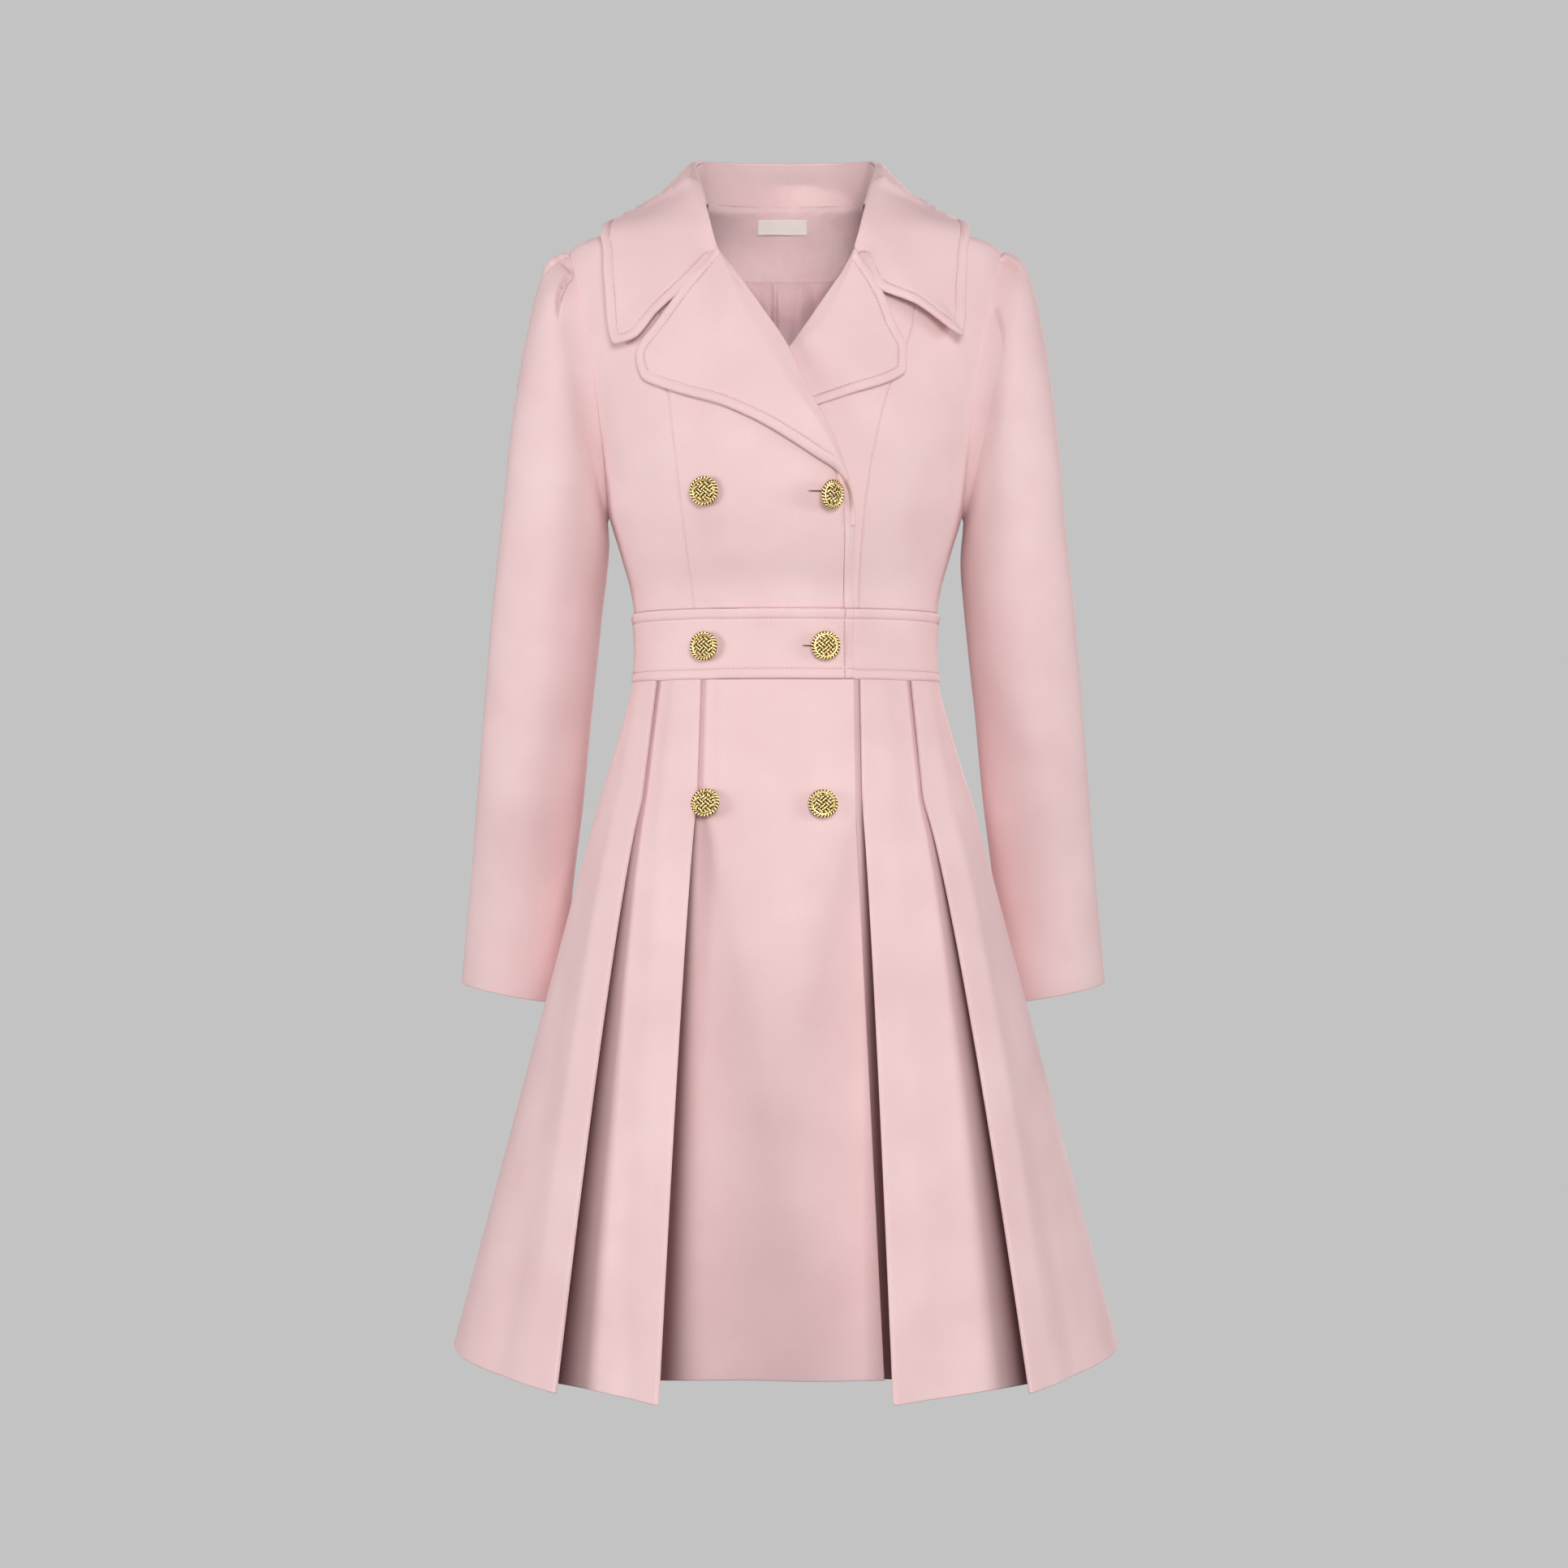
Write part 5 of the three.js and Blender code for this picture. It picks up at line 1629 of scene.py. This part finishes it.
# %% Rows of stitches
bands = [("waistband_" + part, side) for part in ("right", "left", "back") for side in ("low", "high")]
stitched_edges = {
    "collar": [("collar_fall", "right")],
    "lapel_right": [("lapel_right", "right")],
    "lapel_left": [("lapel_left", "right")],
    "front_edge": [("front_centre_right", "right", (0, 0.2))],
    "skirt_edge": [("skirt_front_right", "right")],
    "waistband": [*bands, ("waistband_right", "right")],
}
for name, edges in stitched_edges.items():
    write_stitches("stitches_" + name, [stitch_line(*edge) for edge in edges])

# %% [markdown]
# Two front pleats are topstitched down to the hip beside their folds. The line is read off the sewn
# panel: the fold's nose is where the cloth comes nearest to the middle, and the stitches lie beyond it.

# %% Stitched-down pleats
PLEAT_INSETS = {"skirt_mid_right": (8.4, -505), "skirt_mid_left": (2.6, -500)}


def pleat_line(node, inset, low):
    """At each height above the low one, the point that lies the inset beyond the fold's nose."""
    outer, normals = sewn[node]["outer"], sewn[node]["normals"]
    run = arc(outer, 1)
    rows = np.flatnonzero(outer[:, 0, 2] > low)
    nose = abs(outer[..., 0]).argmin(1)
    read = lambda values: [read_along(run[row, nose[row]] + inset, run[row], values[row]) for row in rows]
    return np.array(read(outer)), unit(np.array(read(normals)))


write_stitches("stitches_pleats", [pleat_line(node, *where) for node, where in PLEAT_INSETS.items()])

# %% [markdown]
# A worked buttonhole is a slit whose two lips are overcast with thread. Only the end that the button
# doesn't hide is seen, as a short dark line. The slit is a narrow dark strip that lies just over the
# cloth, a painted shadow of the opening, and each lip is a close row of stitches.

# %% Buttonholes
SLIT_HALF = 0.45
SLIT_LIFT = 0.12
LIP = 0.75
BUTTONHOLES = {
    "top": (17.5, 33, -265.3, "front_centre_right"),
    "waist": (13.2, 31, -388, "waistband_right"),
    "hip": (11.3, 29, -517.5, "skirt_front_right"),
}


def surface_line(node, x, z):
    """The points of a sewn piece's outer face nearest to each x at one height, and their normals."""
    outer, normals = sewn[node]["outer"], sewn[node]["normals"]
    row = abs(outer[:, outer.shape[1] // 2, 2] - z).argmin()
    for _ in range(3):
        column = abs(outer[row, :, 0] - x.mean()).argmin()
        row = abs(outer[:, column, 2] - z).argmin()
    order = np.argsort(outer[row, :, 0])
    read = lambda values: read_along(x, outer[row, order, 0], values[row, order])
    line = read(outer)
    line[:, 2] = z
    return line, unit(read(normals))


def slit_strip(line, out):
    """A strip of painted shadow along a line, pointed at its open end, and raised along its middle."""
    share = np.linspace(0, 1, len(line))
    half = point(0, 0, SLIT_HALF * np.clip(4 * share, 0.05, 1) ** 0.5)
    rows = ((1, -1), (3, -0.2), (3, 0.2), (1, 1))
    return np.stack([line + out * SLIT_LIFT * lift + half * up for lift, up in rows], axis=1)


slits, lips = [], []
for low_x, high_x, z, node in BUTTONHOLES.values():
    line, out = surface_line(node, np.linspace(low_x, high_x, 14), z)
    slits.append(slit_strip(line, out))
    lips += [(line + np.array([0, 0, LIP * way]), out) for way in (-1, 1)]
write_stitches("stitches_buttonholes", lips, pitch=0.8, width=0.55, raise_by=0.05)
# Painted shadow: the slit's strip takes a dark wool colour for the shade inside the opening.
SLIT_SHADE = wool_coating("painted_shadow_in_the_slit", "#6B3D42", "#4A2A2E", "#8A5A5E")
grid = np.stack(slits)
ids = np.arange(grid[..., 0].size).reshape(grid.shape[:3])
slit_faces = np.concatenate([quads(i) for i in ids])
slit_piece = write_mesh("painted_slit_shadows", grid.reshape(-1, 3), slit_faces, SLIT_SHADE)
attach(slit_piece, "root")
print("buttonholes:", len(BUTTONHOLES))

# %% [markdown]
# The buttons are domed castings with a basket pattern on the face and a rope round the rim. A button is
# a profile turned about its axis; the pattern and the rope are heights added along the way, so the
# relief is real and catches the light.

# %% Buttons
BASKET_PITCH = 5.2
ROPE_TURNS = 26
BASKET_RISE = 1.25
ROPE_RISE = 0.75
ROPE_BULGE = 0.45
SEAT_GAP = 0.9
TILTED_GAP = 2.4
BUTTONS = [
    {"node": "button_right_top", "x": -63.7, "z": -264},
    {"node": "button_left_top", "x": 33, "z": -268, "tilt": 36},
    {"node": "button_right_waist", "x": -63.7, "z": -388},
    {"node": "button_left_waist", "x": 30.9, "z": -388},
    {"node": "button_right_hip", "x": -62.5, "z": -517, "rise": 2, "cover": 0.2},
    {"node": "button_left_hip", "x": 29.2, "z": -517, "cover": 1.2},
]
PROFILE = table(
    "run radius height",
    (0, 0, 9.4),
    (1, 4.2, 8.9),
    (2, 7.6, 7.3),
    (2.5, 8.7, 6.2),
    (3, 9.3, 6.1),
    (3.5, 10.2, 6.7),
    (4, 11.2, 6.4),
    (4.5, 11.9, 5.4),
    (5, 11.6, 4.2),
    (6, 9.6, 2.9),
    (7, 2.6, 2.5),
    (8, 2.6, 0),
    (9, 0, 0),
)


def basket(x, y):
    """Cells of a basket: in every other cell the bar runs the other way. A bar's section is a round
    top, |sin|, and its ends dip under its neighbours."""
    a, b = (x + y) / math.sqrt(2) / BASKET_PITCH, (x - y) / math.sqrt(2) / BASKET_PITCH
    one_way = (np.floor(a) + np.floor(b)) % 2 < 1
    across = np.where(one_way, a % 1, b % 1)
    lengthwise = np.where(one_way, b % 1, a % 1)
    split = abs(np.sin(2 * np.pi * across)) ** 1.4
    return split * (0.55 + 0.45 * np.sin(np.pi * lengthwise))


def button_relief(rise):
    """The profile turned about its axis, with the basket and the rope added as heights; also how deep
    each point lies in the hollows."""
    run = np.concatenate([np.linspace(0, 2.5, 30), np.linspace(2.6, 5, 22), np.linspace(5.2, 9, 20)])
    run = run[:, None]
    angle = np.linspace(0, 2 * np.pi, 121)[:-1]
    radius, height = curve(PROFILE, "run", "radius", run), curve(PROFILE, "run", "height", run)
    height = np.where(run < 8, height + rise, height)
    on_face = 1 - soft_step(2.2, 2.6, run)
    on_rim = soft_step(3, 3.3, run) * (1 - soft_step(5, 5.3, run))
    weave = basket(radius * np.cos(angle), radius * np.sin(angle)) * soft_step(0, 0.1, run)
    rope = 0.5 + 0.5 * np.sin(ROPE_TURNS * angle + 2.4 * (run - 3))
    out = radius + on_rim * ROPE_BULGE * (rope - 0.6) * (run > 3.4)
    up = height + on_face * BASKET_RISE * (weave - 0.6) + on_rim * ROPE_RISE * (rope - 0.5)
    hollow = np.clip(1 - on_face * weave - on_rim * rope - (1 - on_face - on_rim) * 0.5, 0, 1)
    return point(out * np.cos(angle), out * np.sin(angle), up), hollow


def button(x, z, tilt=0, rise=0, cover=None):
    """One button stood on the coat along its normal: vertices, faces and hollows."""
    local, hollow = button_relief(rise)
    turn = turn_at_x(x, max(z, HIP))
    normal = body_normal(turn, z)
    if cover is None:
        cover = BAND_LIFT + band_lap(x) if z < WAIST_TOP else overlap(x, z)
    clear = SEAT_GAP + (TILTED_GAP if tilt else 0)
    seat = body_point(turn, max(z, HIP)) + normal * (cover + clear)
    seat[2] = z
    c, s = math.cos(math.radians(tilt)), math.sin(math.radians(tilt))
    axis = np.array([c * normal[0] - s * normal[1], s * normal[0] + c * normal[1], normal[2]])
    sideways = unit(np.cross([0, 0, 1], axis))
    placed = seat + local @ np.stack([sideways, np.cross(axis, sideways), axis])
    rows, columns = placed.shape[:2]
    ids = np.arange(rows * columns).reshape(rows, columns)
    ids[0], ids[-1] = 0, ids[-1, 0]
    return placed.reshape(-1, 3), quads(np.concatenate([ids, ids[:, :1]], axis=1)), hollow.ravel()


def write_button(node, **place):
    """Writes a button, with its hollows as an attribute for the plating. At its two poles the squares
    shrink to triangles."""
    vertices, faces, hollow = button(**place)
    used = np.unique(faces)
    order = np.zeros(len(vertices), int)
    order[used] = np.arange(len(used))
    vertices, faces = vertices[used], facing_out(vertices[used], order[faces])
    corners = [tuple(dict.fromkeys(face)) for face in faces.tolist()]
    mesh = bpy.data.meshes.new(node)
    mesh.from_pydata((vertices * MM).tolist(), [], corners)
    mesh.polygons.foreach_set("use_smooth", np.ones(len(corners), bool))
    mesh.attributes.new("hollow", "FLOAT", "POINT").data.foreach_set("value", hollow[used].astype(np.float32))
    mesh.materials.append(GOLD)
    made = stand("cast_" + node, mesh)
    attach(made, "root")
    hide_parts(node)


for settings in BUTTONS:
    write_button(**settings)
print("buttons:", len(BUTTONS))

# %% [markdown]
# Light: a soft box in front and a little above, one at each side, a weak one low down that stands for
# the pale floor, a narrow beam into the neck, one behind for the back, and a dim room all round. The
# floor turns up into a wall of the same pale grey, so no horizon shows, and it lies far enough below
# the hem for a coat worn at knee length.

# %% Light and floor
FLOOR_Z = -1.40


def soft_box(name, place, aim, size, power):
    """A square lamp that faces a point."""
    data = bpy.data.lights.new(name, "AREA")
    data.size = size
    data.energy = power
    made = stand(name, data)
    away = np.array(place) - np.array(aim)
    flat = math.hypot(away[0], away[1])
    made.location = place
    made.rotation_euler = (math.atan2(flat, away[2]), 0, math.atan2(away[0], -away[1]))
    return made


soft_box("front", (0.3, -3.1, 0.3), (0, 0, -0.5), 1.1, 54)
soft_box("left", (-2.9, -1.2, -0.3), (0, 0, -0.6), 1.4, 47)
soft_box("right", (2.9, -1.2, -0.2), (0, 0, -0.55), 1.4, 36)
soft_box("low", (0.0, -2.6, -1.2), (0, 0, -0.6), 0.9, 9)
neck = soft_box("neck", (0.0, -2.0, -0.2), (0, 0.05, -0.03), 0.03, 0.012)
neck.data.spread = math.radians(4)
soft_box("back", (0.6, 3.0, 0.9), (0, 0, -0.4), 1.4, 78)

# %% The dim room
world = bpy.data.worlds.new("dim_room")
world.use_nodes = True
room = world.node_tree
way = add_node(room, "ShaderNodeTexCoord").outputs["Generated"]
height_of_way = add_node(room, "ShaderNodeSeparateXYZ", {"Vector": way}).outputs["Z"]
climb = add_node(room, "ShaderNodeMapRange", {"Value": height_of_way, "From Min": -0.6, "From Max": 1.0})
shades = add_node(room, "ShaderNodeValToRGB", {"Fac": climb.outputs[0]})
shades.color_ramp.elements[0].color = (0.06, 0.036, 0.036, 1)
shades.color_ramp.elements[1].color = (0.3, 0.22, 0.22, 1)
middle = shades.color_ramp.elements.new(0.45)
middle.color = (0.1, 0.065, 0.065, 1)
room.links.new(shades.outputs[0], room.nodes["Background"].inputs["Color"])
bpy.context.scene.world = world

# %% Backdrop
FLOOR_REACH = 3200
BEND_RADIUS = 1000
WALL_TOP = 9000


def backdrop():
    """A floor that turns up into a wall all round: a profile of radius and height, turned about the
    middle. It glows evenly by itself. The buttons mirror it, but it lights no cloth."""
    bend = np.linspace(0, np.pi / 2, 13)
    far = FLOOR_REACH + BEND_RADIUS
    radius = np.concatenate([[1.0], FLOOR_REACH + BEND_RADIUS * np.sin(bend), [far]])[:, None]
    height = np.concatenate([[0.0], BEND_RADIUS * (1 - np.cos(bend)), [WALL_TOP]])[:, None]
    angle = np.linspace(0, 2 * np.pi, 65)
    grid = point(radius * np.cos(angle), radius * np.sin(angle), FLOOR_Z / MM + height)
    paint, tree, shader, _ = new_material("painted_backdrop")
    glow = {
        "Base Color": linear("#000000"),
        "Specular IOR Level": 0.0,
        "Emission Color": linear("#C3C3C3"),
        "Emission Strength": 1.0,
    }
    feed(tree, shader, glow)
    ids = np.arange(grid[..., 0].size).reshape(grid.shape[:2])
    wall = write_mesh("backdrop", grid.reshape(-1, 3), quads(ids), paint)
    wall.visible_diffuse = wall.visible_shadow = False
    return wall


backdrop()
